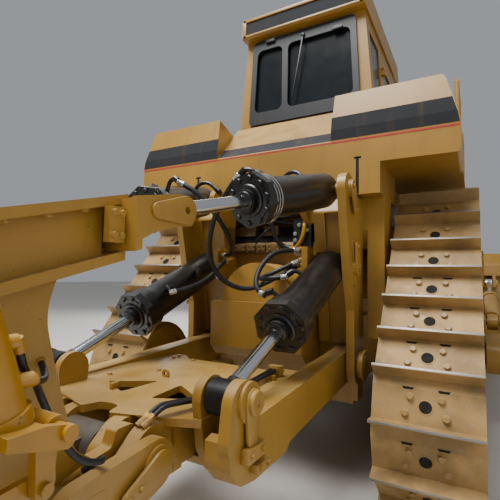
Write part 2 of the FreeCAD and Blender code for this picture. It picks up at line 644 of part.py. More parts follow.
def hoses():
    """The ripper cylinders' hoses, each from its elbow's face to the manifold on the tower."""
    made = {}
    runs = (("tilt_hose_right", TILT_HEAD_ROUTE, -TILT_ELBOW_X), ("tilt_cap_hose_right", TILT_CAP_ROUTE,
                                                                  -TILT_ELBOW_X),
            ("lift_hose_right", LIFT_HEAD_ROUTE, -LIFT_ELBOW_X), ("lift_cap_hose_right", LIFT_CAP_ROUTE,
                                                                  -LIFT_ELBOW_X),
            ("tilt_hose_left", LEFT_TILT_ROUTE, TILT_ELBOW_X), ("lift_hose_left", LEFT_LIFT_ROUTE,
                                                                LIFT_ELBOW_X))
    for name, route, face in runs:
        made[name] = hose(name, route, face=face)
    return made


def frame_hoses():
    """Two thin hoses clamped side by side along the top of the ripper frame."""
    twin = []
    for shift in TWIN_SHIFTS:
        twin.append(hose("frame hose", shifted(FRAME_ROUTE, shift), THIN_HOSE_R))
    return solids(*twin)


def puller_hoses():
    """The two short hoses between the carriage and the pin puller's ports."""
    return solids(hose("puller low hose", PULLER_LOW_ROUTE, THIN_HOSE_R), hose("puller top hose",
                                                                               PULLER_TOP_ROUTE, THIN_HOSE_R))


def elbow(port, top, end, step, face):
    """A hard elbow from a cylinder's port up and over to the upright face where its hose begins, with its nuts."""
    step = V(*step)
    step.normalize()
    beyond = V(*end) + step * 26
    pipe = tube_along([port, top, tuple(beyond)], 15, 0.6)[0]
    a, b = V(*port), V(*top)
    up = b - a
    over = beyond - b
    up.normalize()
    over.normalize()
    pieces = [pipe, Part.makeCylinder(27, 36, a - up * 12, up),
              Part.makeCylinder(22, 72, beyond - over * 72, over)]
    return cut_outside(fuse(pieces), face)


def manifold(side, routes):
    """The steel block on the tower's inner face where the cylinders' hoses end, with a fitting for each."""
    a, b = sorted((side * 385, side * 432))
    pieces = [box(a, b, 2085, 2215, 1695, 1850), rod((side * 400, 2140, 1740), (side * 437, 2140, 1740), 40)]
    for route in routes:
        end, before = V(*route[-1]), V(*route[-2])
        step = end - before
        step.normalize()
        reach = (390 - abs(end.x)) / abs(step.x)
        pieces += [Part.makeCylinder(21, reach, end, step), Part.makeCylinder(26, min(reach, 22),
                                                                              end + step * 6, step)]
    return fuse(pieces)


def first_step(route):
    return tuple(V(*route[1]) - V(*route[0]))


def mirror_step(step):
    return (-step[0], step[1], step[2])


def ripper_lift_cylinder(side):
    barrel, shaft = cylinder_pair((LIFT_X, *LIFT_BASE), (LIFT_X, *LIFT_EYE), 0.61, 128, 38, 80, 505,
                                  flange_r=168, back=62)
    if side < 0:
        barrel, shaft = mirrored(barrel), mirrored(shaft)
    head = LIFT_HEAD_ROUTE if side < 0 else LEFT_LIFT_ROUTE
    face = side * LIFT_ELBOW_X
    cap_step = first_step(LIFT_CAP_ROUTE)
    cap_end = (face, *LIFT_CAP_ROUTE[0][1:])
    pieces = [barrel, elbow((side * 480, 2770, 1450), (side * 442, 2795, 1530), head[0], first_step(head),
                            face)]
    pieces.append(elbow((side * 480, 2415, 1611), (side * 440, 2435, 1676), cap_end,
                        cap_step if side < 0 else mirror_step(cap_step), face))
    return fuse(pieces), shaft


def ripper_tilt_cylinder(side):
    barrel, shaft = cylinder_pair((TILT_BASE_X, *TILT_BASE), (TILT_EYE_X, *TILT_EYE), 0.575, 130, 38, 66,
                                  545, flange_r=166, back=44)
    if side < 0:
        barrel, shaft = mirrored(barrel), mirrored(shaft)
    head = TILT_HEAD_ROUTE if side < 0 else LEFT_TILT_ROUTE
    face = side * TILT_ELBOW_X
    cap_step = first_step(TILT_CAP_ROUTE)
    cap_end = (face, *TILT_CAP_ROUTE[0][1:])
    pieces = [barrel, elbow((side * 385, 2895, 2180), (side * 318, 2920, 2318), head[0], first_step(head),
                            face)]
    pieces.append(elbow((side * 500, 2440, 2300), (side * 400, 2425, 2415), cap_end,
                        cap_step if side < 0 else mirror_step(cap_step), face))
    return fuse(pieces), shaft


def pin_puller():
    """The small cylinder on the carriage's right that draws the shank's pin, with its fork, lever and link."""
    pivot = (4357, 1203)
    body = rod((-500, 4468, 1250), (-500, 4560, 1540), 60)
    cap = rod((-500, 4462, 1232), (-500, 4473, 1267), 69)
    fork = box(-605, -405, 4415, 4515, 1205, 1238)
    arms = []
    for x0, x1 in ((-430, -405), (-605, -580)):
        arms.append(side_plate([(4500, 1238), (4415, 1238), (4309, 1213, 22), (4347, 1158, 22),
                                (4505, 1203)], x0, x1))
    pin = cross_rod(pivot, -620, -265, 22)
    sleeve = cross_rod(pivot, -560, -450, 36)
    lever = side_plate([(4322, 1208), (4392, 1208), (4382, 1008, 20), (4332, 1008, 20)], -520, -486)
    link = side_plate([(4297, 1068, 25), (4297, 1008, 25), (4517, 993, 25), (4517, 1048, 25)], -480, -456)
    knuckle = cross_rod((4357, 1038), -535, -450, 18)
    ports = [rod((-500, 4520, 1440), (-506, 4446, 1442), 20), rod((-500, 4490, 1338), (-524, 4408, 1342), 20)]
    ports.append(end_nub(PULLER_TOP_ROUTE[0], PULLER_TOP_ROUTE[1], 16, 42))
    ports.append(end_nub(PULLER_LOW_ROUTE[-1], PULLER_LOW_ROUTE[-2], 16, 42))
    return fuse([body, cap, fork, pin, sleeve, lever, link, knuckle] + arms + ports)


def blade_lift_cylinder():
    """Held at its middle by a yoke beside the radiator, with its head end above."""
    return cylinder_pair((BLADE_LIFT_X, *BLADE_LIFT_BASE), (BLADE_LIFT_X, *BLADE_LIFT_EYE), 0.244, 85, 42,
                         75, -60, tail=1110)


def blade_brace():
    return cylinder_pair((TRUNNION_X, *BRACE_BASE), (TRUNNION_X, *BRACE_EYE), 0.58, 100, 50, 80, 560)


def blade_profile(offset):
    """The moldboard's curve as (Y, Z), pushed back by an offset, from the cutting edge up."""
    radius = 1750.0
    centre = (-3430.0 - radius, 1120.0)
    points = []
    for i in range(13):
        z = 260 + (BLADE_H - 260) * i / 12
        points.append((centre[0] + math.sqrt((radius + offset) ** 2 - (z - centre[1]) ** 2), z))
    return points


def wing(outline, x_start, length):
    """A panel drawn along X from the mitre line, turned forward by the wing angle about that line."""
    panel = side_plate(outline, x_start - 500, x_start + length)
    panel.rotate(V(x_start, BLADE_HINGE_Y, 0), V(0, 0, 1), -WING_DEG)
    half = math.radians(WING_DEG / 2)
    cutter = Part.makeBox(6000, 6000, 6000, V(-6000, -3000, -1000))
    cutter.rotate(V(0, 0, 0), V(0, 0, 1), -math.degrees(half))
    cutter.translate(V(x_start, BLADE_HINGE_Y, 0))
    return panel.cut(cutter)


def swept_blade(outline, length):
    """A closed (Y, Z) outline carried across the whole blade: the straight middle and both wings."""
    left = wing(outline, BLADE_CENTRE_HALF, length)
    return fuse([side_plate(outline, -BLADE_CENTRE_HALF, BLADE_CENTRE_HALF), left, mirrored(left)])


def moldboard():
    """The semi-universal blade: the curved plate, boxed stiffeners behind it, and the lugs on its back."""
    face_curve, back_curve = blade_profile(0), blade_profile(45)
    shell = swept_blade(face_curve + back_curve[::-1], WING_LEN)
    front = swept_blade(face_curve + [(-5200, BLADE_H), (-5200, 260)], WING_LEN + 300)
    low_box = swept_blade([(-3520, 300), (-3280, 300), (-3280, 560), (-3420, 640)], WING_LEN - 30)
    high_box = swept_blade([(-3480, 1650), (-3300, 1700), (-3300, 1880), (-3560, 1960)], WING_LEN - 30)
    pieces = []
    for x in (-1250, -450, 450, 1250):
        pieces.append(side_plate([(-3500, 330), (-3290, 560), (-3310, 1700), (-3500, 1880)], x - 20, x + 20))
    lugs = []
    for x0, x1 in ((1615, 1660), (1840, 1885)):
        lugs.append(side_plate([(-3600, 330), (-3260, 330), (-3160, 360), (-3160, 500), (-3260, 620),
                                (-3600, 620)], x0, x1))
    lugs.append(cross_rod(BLADE_PIN, 1615, 1900, 60))
    for x0, x1 in ((1640, 1685), (1815, 1860)):
        lugs.append(side_plate([(-3640, 1400), (-3300, 1480), (-3180, 1500), (-3180, 1620), (-3300, 1660),
                                (-3640, 1800)], x0, x1))
    lugs.append(cross_rod(BRACE_EYE, 1860, 1885, 60))
    for x0, x1 in ((770, 815), (945, 990)):
        lugs.append(side_plate([(-3500, 560), (-3290, 760), (-3210, 800), (-3210, 920), (-3290, 1000),
                                (-3500, 1180)], x0, x1))
    lugs.append(cross_rod(BLADE_LIFT_EYE, 990, 1010, 60))
    for lug in lugs:
        pieces += [lug, mirrored(lug)]
    behind = fuse([low_box, high_box] + pieces).cut(front)
    return fuse([shell, behind])


def cutting_edge():
    outline = [(-3830, 12), (-3790, 12), (-3640, 278), (-3680, 300)]
    return swept_blade(outline, WING_LEN).cut(swept_blade(blade_profile(0) + blade_profile(45)[::-1],
                                                          WING_LEN))


def push_arm():
    """One left push arm: the box beam beside the track, its pivot cap, its front eye and the brace lugs."""
    beam = side_plate([(-470, 640), (-470, 880), (-1500, 900), (-2950, 560), (-3060, 520), (-3060, 320),
                       (-2950, 300), (-1500, 600)],
                      TRUNNION_X - 115, TRUNNION_X + 115)
    cap = cross_rod(TRUNNION, TRUNNION_X - 115, TRUNNION_X + 115, 190)
    neck = side_plate([(-480, 650), (-250, 600), (-250, 920), (-480, 870)], TRUNNION_X - 115, TRUNNION_X + 115)
    nose = boss_plate([(*BLADE_PIN, 90), (-3040, 420, 100)], TRUNNION_X - 75, TRUNNION_X + 75)
    pieces = [beam, cap, neck, nose, cross_rod(BRACE_BASE, TRUNNION_X - 130, TRUNNION_X + 130, 45)]
    for x0, x1 in ((-130, -85), (85, 130)):
        pieces.append(side_plate([(-1900, 700), (-1560, 760), (-1640, 1080, 60), (-1830, 1120, 60)],
                                 TRUNNION_X + x0, TRUNNION_X + x1))
    arm = fuse(pieces)
    arm = arm.cut(cross_rod(TRUNNION, TRUNNION_X - 200, TRUNNION_X + 200, 95))
    return arm.cut(cross_rod(BLADE_PIN, TRUNNION_X - 200, TRUNNION_X + 200, 65))


def radiator_guard():
    """The guard round the radiator: thick sides, a sill and a top, and the yokes of the blade's lift cylinders."""
    outline = [(-2760, 1000), (-2380, 1000), (-2380, 1240), (-2345, 1240), (-2345, 2780), (-2600, 2780),
               (-2760, 2480)]
    shell = side_plate(outline, -720, 720)
    shell = shell.cut(side_plate([(-2800, 1180), (-2440, 1180), (-2440, 2400), (-2800, 2400)], -600, 600))
    pieces = [shell]
    for s in (-1, 1):
        for side in (-1, 1):
            a, b = sorted((s * (BLADE_LIFT_X + side * 112), s * (BLADE_LIFT_X + side * 150)))
            yoke = boss_plate([(*BLADE_LIFT_BASE, 80), (-2480, 2200, 105)], a, b)
            pieces.append(yoke)
        a, b = sorted((s * 719, s * (BLADE_LIFT_X + 150)))
        pieces.append(box(a, b, -2440, -2390, 2100, 2300))
        pins = [cross_rod(BLADE_LIFT_BASE, *sorted((s * (BLADE_LIFT_X + k * 109),
                                                    s * (BLADE_LIFT_X + k * 150))), 40) for k in (-1, 1)]
        pieces += pins
    return fuse(pieces)


def front_grille():
    """The grille in the guard's opening: a thin frame and its level bars."""
    frame = box(-600, 600, -2700, -2660, 1180, 2400).cut(box(-560, 560, -2750, -2590, 1220, 2360))
    bars = [box(-561, 561, -2692, -2668, z, z + 22) for z in range(1290, 2340, 85)]
    return fuse([frame] + bars)


def engine_block():
    return fuse([box(-430, 430, -2100, -450, 1240, 2150), box(-240, 240, -2000, -600, 2100, 2520)])


def engine_hood():
    """The hood: the sloping top with rounded shoulders, and side panels down to the engine's sill."""
    front = [(HOOD_HALF, 1640), (HOOD_HALF, 2640), (HOOD_HALF - 60, 2740), (HOOD_HALF - 160, 2780)]
    outer = front + [(-x, z) for x, z in reversed(front)]
    inner = [(x - 30 if x > 0 else x + 30, z - 30 if z > 1700 else z - 10) for x, z in outer]
    length = HOOD_REAR - HOOD_FRONT
    hood = front_plate(outer, -2345, HOOD_REAR).cut(front_plate(inner, -2400, HOOD_REAR + 50))
    return hood


def exhaust_stacks():
    made = []
    for s in (-1, 1):
        pipe = rod((s * 330, -1150, 2780), (s * 330, -1150, 3560), 85)
        shield = rod((s * 330, -1150, 2790), (s * 330, -1150, 3200), 125)
        bore = rod((s * 330, -1150, 3200), (s * 330, -1150, 3600), 75)
        made.append(fuse([pipe, shield]).cut(bore))
    return solids(*made)


def air_precleaners():
    made = []
    for s in (-1, 1):
        neck = rod((s * 330, -1650, 2780), (s * 330, -1650, 2960), 70)
        bowl = rod((s * 330, -1650, 2950), (s * 330, -1650, 3180), 150)
        lid = Part.makeCone(150, 60, 60, V(s * 330, -1650, 3180), V(0, 0, 1))
        made.append(fuse([neck, bowl, lid]))
    return solids(*made)


def cab_box(inset):
    """The cab's tapering body drawn in from its outside by an inset, as one solid."""
    slope = (CAB_HALF_LOW - CAB_HALF_TOP) / (CAB_TOP - CAB_FLOOR)
    low, top = CAB_FLOOR + inset, CAB_TOP - inset
    half_low = CAB_HALF_LOW - slope * inset - inset
    half_top = CAB_HALF_TOP + slope * inset - inset
    body = front_plate([(-half_low, low), (half_low, low), (half_top, top), (-half_top, top)],
                       CAB_FRONT + inset, CAB_REAR - inset)
    lean = [(CAB_FRONT - 200, 3100 + inset), (CAB_FRONT + inset, 3100),
            (CAB_FRONT + 190 + inset, CAB_TOP + 100), (CAB_FRONT - 200, CAB_TOP + 100)]
    return body.cut(side_plate(lean, -1000, 1000))


def cab_wall(outer, inner):
    """The layer of the cab's wall between two insets."""
    return cab_box(outer).cut(cab_box(inner))


DOOR = (-150.0, 620.0, 2560.0, 4090.0)
DOOR_GAP = 8.0


def cab_windows():
    """The window openings, as solids that pass through the walls, by name."""
    panes = {}
    panes["rear"] = front_plate([(-565, 3330), (565, 3330), (525, 4130), (-525, 4130)], CAB_REAR - 120,
                                CAB_REAR + 50)
    panes["front"] = front_plate([(-600, 3180), (600, 3180), (560, 4110), (-560, 4110)], CAB_FRONT - 50,
                                 CAB_FRONT + 400)
    for s, side in ((1, "left"), (-1, "right")):
        a, b = sorted((s * 400, s * 900))
        panes["side_" + side] = box(a, b, 740, 1180, 3200, 4090)
        panes["low_" + side] = front_plate([(s * 150, 2620), (s * 580, 2620), (s * 580, 3060),
                                            (s * 150, 3060)], CAB_FRONT - 50, CAB_FRONT + 120)
        panes["door_" + side] = box(a, b, DOOR[0] + 90, DOOR[1] - 90, 3000, DOOR[3] - 90)
    return panes


def cab_shell():
    shell = cab_wall(0, CAB_WALL)
    y0, y1, z0, z1 = DOOR
    for s in (-1, 1):
        a, b = sorted((s * 500, s * 900))
        shell = shell.cut(box(a, b, y0 - DOOR_GAP, y1 + DOOR_GAP, z0 - DOOR_GAP, z1 + DOOR_GAP))
    for name, opening in cab_windows().items():
        if not name.startswith("door"):
            shell = shell.cut(opening)
    pins = [piece for pair in door_hinges() for piece in (pair, mirrored(pair))]
    return fuse([shell] + pins)


def rear_window_frame():
    """The dark frame of the rear window, proud of the wall, round a narrow fixed pane and a wide wiped one."""
    plate = front_plate([(-612, 3262, 50), (612, 3262, 50), (565, 4200, 60), (-565, 4200, 60)], CAB_REAR,
                        CAB_REAR + 28)
    narrow = front_plate([(215, 3395, 60), (545, 3395, 60), (510, 4090, 70), (215, 4090, 60)],
                         CAB_REAR - 20, CAB_REAR + 50)
    wide = front_plate([(-545, 3395, 60), (150, 3395, 60), (150, 4090, 60), (-510, 4090, 70)],
                       CAB_REAR - 20, CAB_REAR + 50)
    return plate.cut(narrow).cut(wide)


def door_hinges():
    """The pins of the left door's two hinges, with the blocks that carry them on the cab's post."""
    blocks = []
    for z in HINGE_Z:
        at = hinge_point(z)
        blocks.append(box(at.x - 70, at.x + 16, at.y - 2, at.y + 60, z - 60, z - 8).cut(cab_box(0)))
        blocks.append(Part.makeCylinder(9, 108, hinge_point(z - 60), HINGE_AXIS))
    return fuse(blocks[:2]), fuse(blocks[2:])


HINGE_Z = (2700.0, 3900.0)
HINGE_OUT = 28.0


def hinge_point(z):
    """The point of the left door's hinge axis at a height, just outside the sloping wall."""
    slope = (CAB_HALF_LOW - CAB_HALF_TOP) / (CAB_TOP - CAB_FLOOR)
    return V(CAB_HALF_LOW - slope * (z - CAB_FLOOR) + HINGE_OUT, DOOR[1] + 4, z)


HINGE_AXIS = V(-(CAB_HALF_LOW - CAB_HALF_TOP) / (CAB_TOP - CAB_FLOOR), 0, 1)


def cab_glass():
    slab = cab_wall(14, 24)
    fixed = [opening for name, opening in cab_windows().items() if not name.startswith("door")]
    return solids(*[slab.common(opening) for opening in fixed])


def cab_door():
    """The left door: its panel cut from the sloping wall, and the sleeves that turn on the hinge pins."""
    y0, y1, z0, z1 = DOOR
    door = cab_wall(0, CAB_WALL).common(box(500, 900, y0, y1, z0, z1)).cut(cab_windows()["door_left"])
    pieces = [door]
    for z in HINGE_Z:
        at = hinge_point(z)
        leaf = box(at.x - 70, at.x + 6, at.y - 70, at.y - 10, z, z + 48).cut(cab_box(0))
        pieces += [Part.makeCylinder(20, 48, at, HINGE_AXIS), leaf]
    whole = fuse(pieces)
    for z in HINGE_Z:
        whole = whole.cut(Part.makeCylinder(11, 120, hinge_point(z - 60), HINGE_AXIS))
    return whole


def cab_door_glass():
    return cab_wall(14, 24).common(cab_windows()["door_left"])


def cab_roof():
    """The roof and its visor, with the panel across the back."""
    roof = side_plate([(-480, CAB_TOP), (1400, CAB_TOP, 30), (1400, 4460, 50), (-430, 4460, 40),
                       (-520, 4330, 30)], -672, 672)
    return roof


def operator_seat():
    base = box(-180, 180, 350, 800, CAB_FLOOR + CAB_WALL, 2700)
    cushion = box(-270, 270, 300, 850, 2700, 2850)
    back = side_plate([(780, 2850), (920, 2850), (1000, 3480), (900, 3480)], -250, 250)
    rests = [box(*sorted((s * 270, s * 360)), 300, 800, 2900, 3030) for s in (-1, 1)]
    links = [box(s * 255 - 20, s * 255 + 20, 700, 830, 2840, 2960) for s in (-1, 1)]
    return fuse([base, cushion, back] + rests + links)


def control_console():
    return side_plate([(CAB_FRONT + 45, CAB_FLOOR + 45), (-150, CAB_FLOOR + 45), (-150, 2900),
                       (CAB_FRONT + 45, 3050)], -300, 300)


def fuel_tank():
    """The tank across the back, stepped over the tracks. Its middle slopes forward between two wings, so that
    the operator sees the ripper, and the slope ends under the rear window."""
    half = [(0, TANK_LOW), (930, TANK_LOW), (930, 2500), (TANK_HALF, 2500, 30), (TANK_HALF, 2740, 60),
            (TANK_HALF_TOP, TANK_TOP, 40), (0, TANK_TOP)]
    outline = half + [(-corner[0],) + corner[1:] for corner in reversed(half[1:-1])]
    block = front_plate(outline, TANK_FRONT, TANK_REAR)
    lean = [(TANK_REAR + 10, 2740), (TANK_REAR - 60, TANK_TOP + 10), (TANK_REAR + 10, TANK_TOP + 10)]
    block = block.cut(side_plate(lean, -2000, 2000))
    notch = flat_plate([(-NOTCH_HALF, TANK_REAR + 10), (NOTCH_HALF, TANK_REAR + 10),
                        (NOTCH_HALF + 185, TANK_FRONT), (-NOTCH_HALF - 185, TANK_FRONT)], 2000, 3300)
    slope = side_plate([(TANK_FRONT, TANK_LOW), (TANK_REAR, TANK_LOW), (TANK_REAR, 2700),
                        (TANK_FRONT, 3225)], -900, 900)
    return fuse([block.cut(notch), slope.common(notch)])


def fenders():
    """The left fender deck over the track, from the cab's side out, with the plate on its inner side."""
    deck = box(CAB_HALF_LOW + 20, 1470, -520, TANK_FRONT, 2500, 2540)
    side = box(CAB_HALF_LOW + 20, CAB_HALF_LOW + 50, -420, TANK_FRONT, 2120, 2501)
    return fuse([deck, side])


def body_floor():
    """The platform under the cab, carried by the gear case, from fender to fender."""
    return box(-(CAB_HALF_LOW + 20), CAB_HALF_LOW + 20, -420, TANK_FRONT, 2100, CAB_FLOOR)


def handrails():
    """Two hoops on each fender, before and behind the door's sweep."""
    hoops = []
    for y0, y1 in ((-480, -120), (860, 1300)):
        posts = [rod((1430, y, 2540), (1430, y, 3320), 19) for y in (y0, y1)]
        bars = [rod((1430, y0 - 19, z), (1430, y1 + 19, z), 17) for z in (2930, 3320)]
        hoops.append(fuse(posts + bars))
    return both(solids(*hoops))


def work_lamps():
    made = []
    for s in (-1, 1):
        made.append(box(s * 520 - 80, s * 520 + 80, -560, -480 + 40, 4330, 4440))
    return solids(*made).cut(cab_roof())


def steps():
    """The two-rung step hung from the fender's front edge."""
    rungs = [box(1010, 1400, -600, -520, z, z + 30) for z in (2100, 2350)]
    sides = [box(x, x + 20, -600, -520, 2080, 2540) for x in (990, 1400)]
    return both(fuse(rungs + sides))


def part_nodes():
    """Every node's shape, by name, in tractor coordinates."""
    nodes = {}

    def pair(name, shape):
        nodes[name + "_left"] = shape
        nodes[name + "_right"] = mirrored(shape)

    pair("track", track())
    nodes["roller_frames"] = both(roller_frame())
    nodes["idlers_and_rollers"] = both(solids(idlers(), rollers()))
    nodes["drive_sprockets"] = both(fuse([sprocket(), final_drive()]))
    nodes["main_frame"] = main_frame()
    nodes["rear_case"] = rear_case()
    nodes["engine_block"] = engine_block()
    nodes["radiator_guard"] = radiator_guard()
    nodes["front_grille"] = front_grille()
    nodes["engine_hood"] = engine_hood()
    nodes["hood_stacks"] = solids(exhaust_stacks(), air_precleaners())
    nodes["platform"] = body_floor()
    nodes["fenders"] = both(fenders())
    nodes["fuel_tank"] = fuel_tank()
    nodes["cab_shell"] = cab_shell()
    nodes["cab_glass"] = cab_glass()
    nodes["rear_window_frame"] = rear_window_frame()
    pair("cab_door", cab_door())
    pair("door_glass", cab_door_glass())
    nodes["cab_roof"] = cab_roof()
    nodes["operator_seat"] = operator_seat()
    nodes["control_console"] = control_console()
    nodes["handrails_and_steps"] = solids(handrails(), steps())
    nodes["work_lamps"] = work_lamps()
    nodes["ripper_towers"] = ripper_towers()
    nodes["ripper_lift_frame"] = lift_frame()
    nodes["ripper_carriage_pins"] = carriage_pins()
    nodes["ripper_carriage"] = carriage()
    nodes["ripper_shank"] = shank()
    nodes["pin_puller"] = pin_puller()
    nodes.update(hoses())
    nodes["frame_hoses"] = frame_hoses()
    nodes["puller_hoses"] = puller_hoses()
    nodes["blade"] = moldboard()
    nodes["cutting_edge"] = cutting_edge()
    nodes["push_arms"] = both(push_arm())
    for name, made in (("blade_lift", blade_lift_cylinder()), ("blade_brace", blade_brace())):
        pair(name + "_barrel", made[0])
        pair(name + "_rod", made[1])
    for name, make in (("ripper_lift", ripper_lift_cylinder), ("ripper_tilt", ripper_tilt_cylinder)):
        for side, word in ((1, "left"), (-1, "right")):
            nodes[f"{name}_barrel_{word}"], nodes[f"{name}_rod_{word}"] = make(side)
    return nodes


def main():
    os.makedirs("parts", exist_ok=True)
    for name, shape in part_nodes().items():
        placed = shape.copy()
        placed.translate(V(0, ORIGIN_Y, 0))
        placed.exportStep(f"parts/{name}.step")


if __name__ == "__main__":
    main()
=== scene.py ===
import bpy
import json
import math
from mathutils import Matrix, Vector


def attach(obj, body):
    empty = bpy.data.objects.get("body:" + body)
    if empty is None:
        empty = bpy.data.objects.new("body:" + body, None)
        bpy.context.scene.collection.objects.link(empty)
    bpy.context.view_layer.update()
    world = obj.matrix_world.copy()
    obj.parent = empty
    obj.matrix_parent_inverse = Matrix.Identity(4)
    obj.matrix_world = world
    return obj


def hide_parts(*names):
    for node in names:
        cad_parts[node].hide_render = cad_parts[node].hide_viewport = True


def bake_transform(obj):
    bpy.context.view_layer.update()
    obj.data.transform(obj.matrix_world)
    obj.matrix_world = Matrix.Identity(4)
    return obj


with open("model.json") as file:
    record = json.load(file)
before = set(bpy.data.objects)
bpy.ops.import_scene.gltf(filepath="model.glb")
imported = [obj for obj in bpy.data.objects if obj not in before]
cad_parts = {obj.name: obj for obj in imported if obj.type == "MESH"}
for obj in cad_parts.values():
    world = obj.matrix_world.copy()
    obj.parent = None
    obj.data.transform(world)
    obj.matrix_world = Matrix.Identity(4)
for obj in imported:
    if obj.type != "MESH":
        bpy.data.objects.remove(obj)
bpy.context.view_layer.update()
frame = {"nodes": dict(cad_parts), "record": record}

# The machine's own frame has its zero over the middle of the track; the part's is under its whole middle.
SHIFT_Y = -0.49755

# The photo's camera, found by matching the cylinders, the tank and the track shoes
PHOTO_SIZE = 500
FOCAL_PX = 398.58
CAMERA_AT = (-1.5368, 5.0599 + SHIFT_Y, 1.6209)
CAMERA_YAW = 0.51355
CAMERA_PITCH = 0.06427
CAMERA_ROLL = 0.01764


def place_camera():
    """Stands the camera where the photographer stood, behind the right ripper cylinder."""
    forward = Vector((math.sin(CAMERA_YAW) * math.cos(CAMERA_PITCH), -math.cos(CAMERA_YAW) * math.cos(CAMERA_PITCH),
                      math.sin(CAMERA_PITCH)))
    level = forward.cross(Vector((0, 0, 1))).normalized()
    upright = level.cross(forward)
    right = level * math.cos(CAMERA_ROLL) + upright * math.sin(CAMERA_ROLL)
    up = upright * math.cos(CAMERA_ROLL) - level * math.sin(CAMERA_ROLL)
    data = bpy.data.cameras.new("photo_camera")
    data.sensor_fit = "HORIZONTAL"
    data.sensor_width = 36.0
    data.lens = FOCAL_PX / PHOTO_SIZE * data.sensor_width
    data.clip_start = 0.05
    data.clip_end = 300
    camera = bpy.data.objects.new("photo_camera", data)
    bpy.context.collection.objects.link(camera)
    camera.matrix_world = Matrix((right, up, -forward)).transposed().to_4x4()
    camera.location = CAMERA_AT
    bpy.context.scene.camera = camera


def at(x, y, z):
    """A point of the machine's own frame, in millimetres, as metres in the part's frame."""
    return Vector((x / 1000, y / 1000 + SHIFT_Y, z / 1000))


def clear_selection():
    bpy.ops.object.select_all(action="DESELECT")


def pick(*pieces):
    """Selects only these pieces, the first of them active."""
    clear_selection()
    for piece in pieces:
        piece.select_set(True)
    bpy.context.view_layer.objects.active = pieces[0]


def edit(piece, choose=lambda centre, normal: True):
    """Enters edit mode with the chosen faces selected, by the place of their middle and their normal."""
    pick(piece)
    bpy.ops.object.mode_set(mode="EDIT")
    bpy.ops.mesh.select_mode(type="FACE")
    bpy.ops.mesh.select_all(action="DESELECT")
    bpy.ops.object.mode_set(mode="OBJECT")
    for face in piece.data.polygons:
        face.select = choose(face.center, face.normal)
    bpy.ops.object.mode_set(mode="EDIT")


def leave_edit():
    bpy.ops.object.mode_set(mode="OBJECT")


def soften(piece, width, angle=35):
    """Breaks the sharp edges with a small bevel and smooths what lies between them."""
    pick(piece)
    if width:
        bevel = piece.modifiers.new("broken_edges", "BEVEL")
        bevel.width = width / 1000
        bevel.segments = 2
        bevel.limit_method = "ANGLE"
        bevel.angle_limit = math.radians(angle)
        bpy.ops.object.modifier_apply(modifier=bevel.name)
    bpy.ops.object.shade_smooth_by_angle(angle=math.radians(angle))


def turned(name, profile, sides=32):
    """A piece turned about an upright line: rings of (radius, height) in millimetres, from its foot up."""
    clear_selection()
    first_radius, first_height = profile[0]
    bpy.ops.mesh.primitive_circle_add(vertices=sides, radius=first_radius / 1000, fill_type="NGON",
                                      location=(0, 0, first_height / 1000))
    piece = bpy.context.active_object
    piece.name = name
    bpy.ops.object.transform_apply(location=True)
    edit(piece)
    for (r0, h0), (r1, h1) in zip(profile, profile[1:]):
        bpy.ops.mesh.extrude_region_move(TRANSFORM_OT_translate={"value": (0, 0, (h1 - h0) / 1000)})
        bpy.ops.transform.resize(value=(r1 / r0, r1 / r0, 1), center_override=(0, 0, h1 / 1000))
    bpy.ops.mesh.select_all(action="SELECT")
    bpy.ops.mesh.normals_make_consistent(inside=False)
    leave_edit()
    return piece


def spun(name, profile, sides=32):
    """A turned piece whose round faces are shaded smooth."""
    piece = turned(name, profile, sides)
    soften(piece, 0)
    return piece


def plate(name, corners, thick):
    """A flat plate with these corners in order round it, grown by its thickness towards where it faces."""
    clear_selection()
    bpy.ops.mesh.primitive_circle_add(vertices=len(corners), fill_type="NGON")
    piece = bpy.context.active_object
    piece.name = name
    for vertex, corner in zip(piece.data.vertices, corners):
        vertex.co = corner
    a, b, c = corners[0], corners[1], corners[2]
    outward = (b - a).cross(c - b).normalized()
    edit(piece)
    bpy.ops.mesh.extrude_region_move(TRANSFORM_OT_translate={"value": outward * thick / 1000})
    bpy.ops.mesh.select_all(action="SELECT")
    bpy.ops.mesh.normals_make_consistent(inside=False)
    leave_edit()
    return piece


def block(name, low, high):
    """A rectangular bar between two corners in the machine's frame, in millimetres."""
    clear_selection()
    a, b = at(*low), at(*high)
    bpy.ops.mesh.primitive_cube_add(size=1, location=(a + b) / 2, scale=(b - a))
    piece = bpy.context.active_object
    piece.name = name
    bpy.ops.object.transform_apply(location=True, scale=True)
    return piece


def stand(piece, place, facing):
    """Turns an upright piece so that its top faces a way, and puts its foot at a place."""
    pick(piece)
    turn = Vector(facing).to_track_quat("Z", "Y")
    piece.matrix_world = Matrix.LocRotScale(place, turn, None)
    bpy.ops.object.transform_apply(location=True, rotation=True)
    return piece


def copies(model, places):
    """Stands a copy of a piece at each (place, facing), joins the copies and removes the model."""
    made = []
    for place, facing in places:
        copy = model.copy()
        copy.data = model.data.copy()
        bpy.context.collection.objects.link(copy)
        made.append(stand(copy, place, facing))
    pick(*made)
    bpy.ops.object.join()
    joined = bpy.context.active_object
    joined.name = model.name + "_set"
    bpy.data.objects.remove(model)
    return joined


def bent_line(name, points, steps):
    """A smooth line that its points pull into its bends, as pipes and hoses take it, still without thickness."""
    line = bpy.data.curves.new(name, "CURVE")
    line.dimensions = "3D"
    spline = line.splines.new("NURBS")
    spline.points.add(len(points) - 1)
    for point, place in zip(spline.points, points):
        point.co = (*place, 1.0)
    spline.order_u = 3
    spline.use_endpoint_u = True
    spline.resolution_u = steps
    piece = bpy.data.objects.new(name, line)
    bpy.context.collection.objects.link(piece)
    return piece


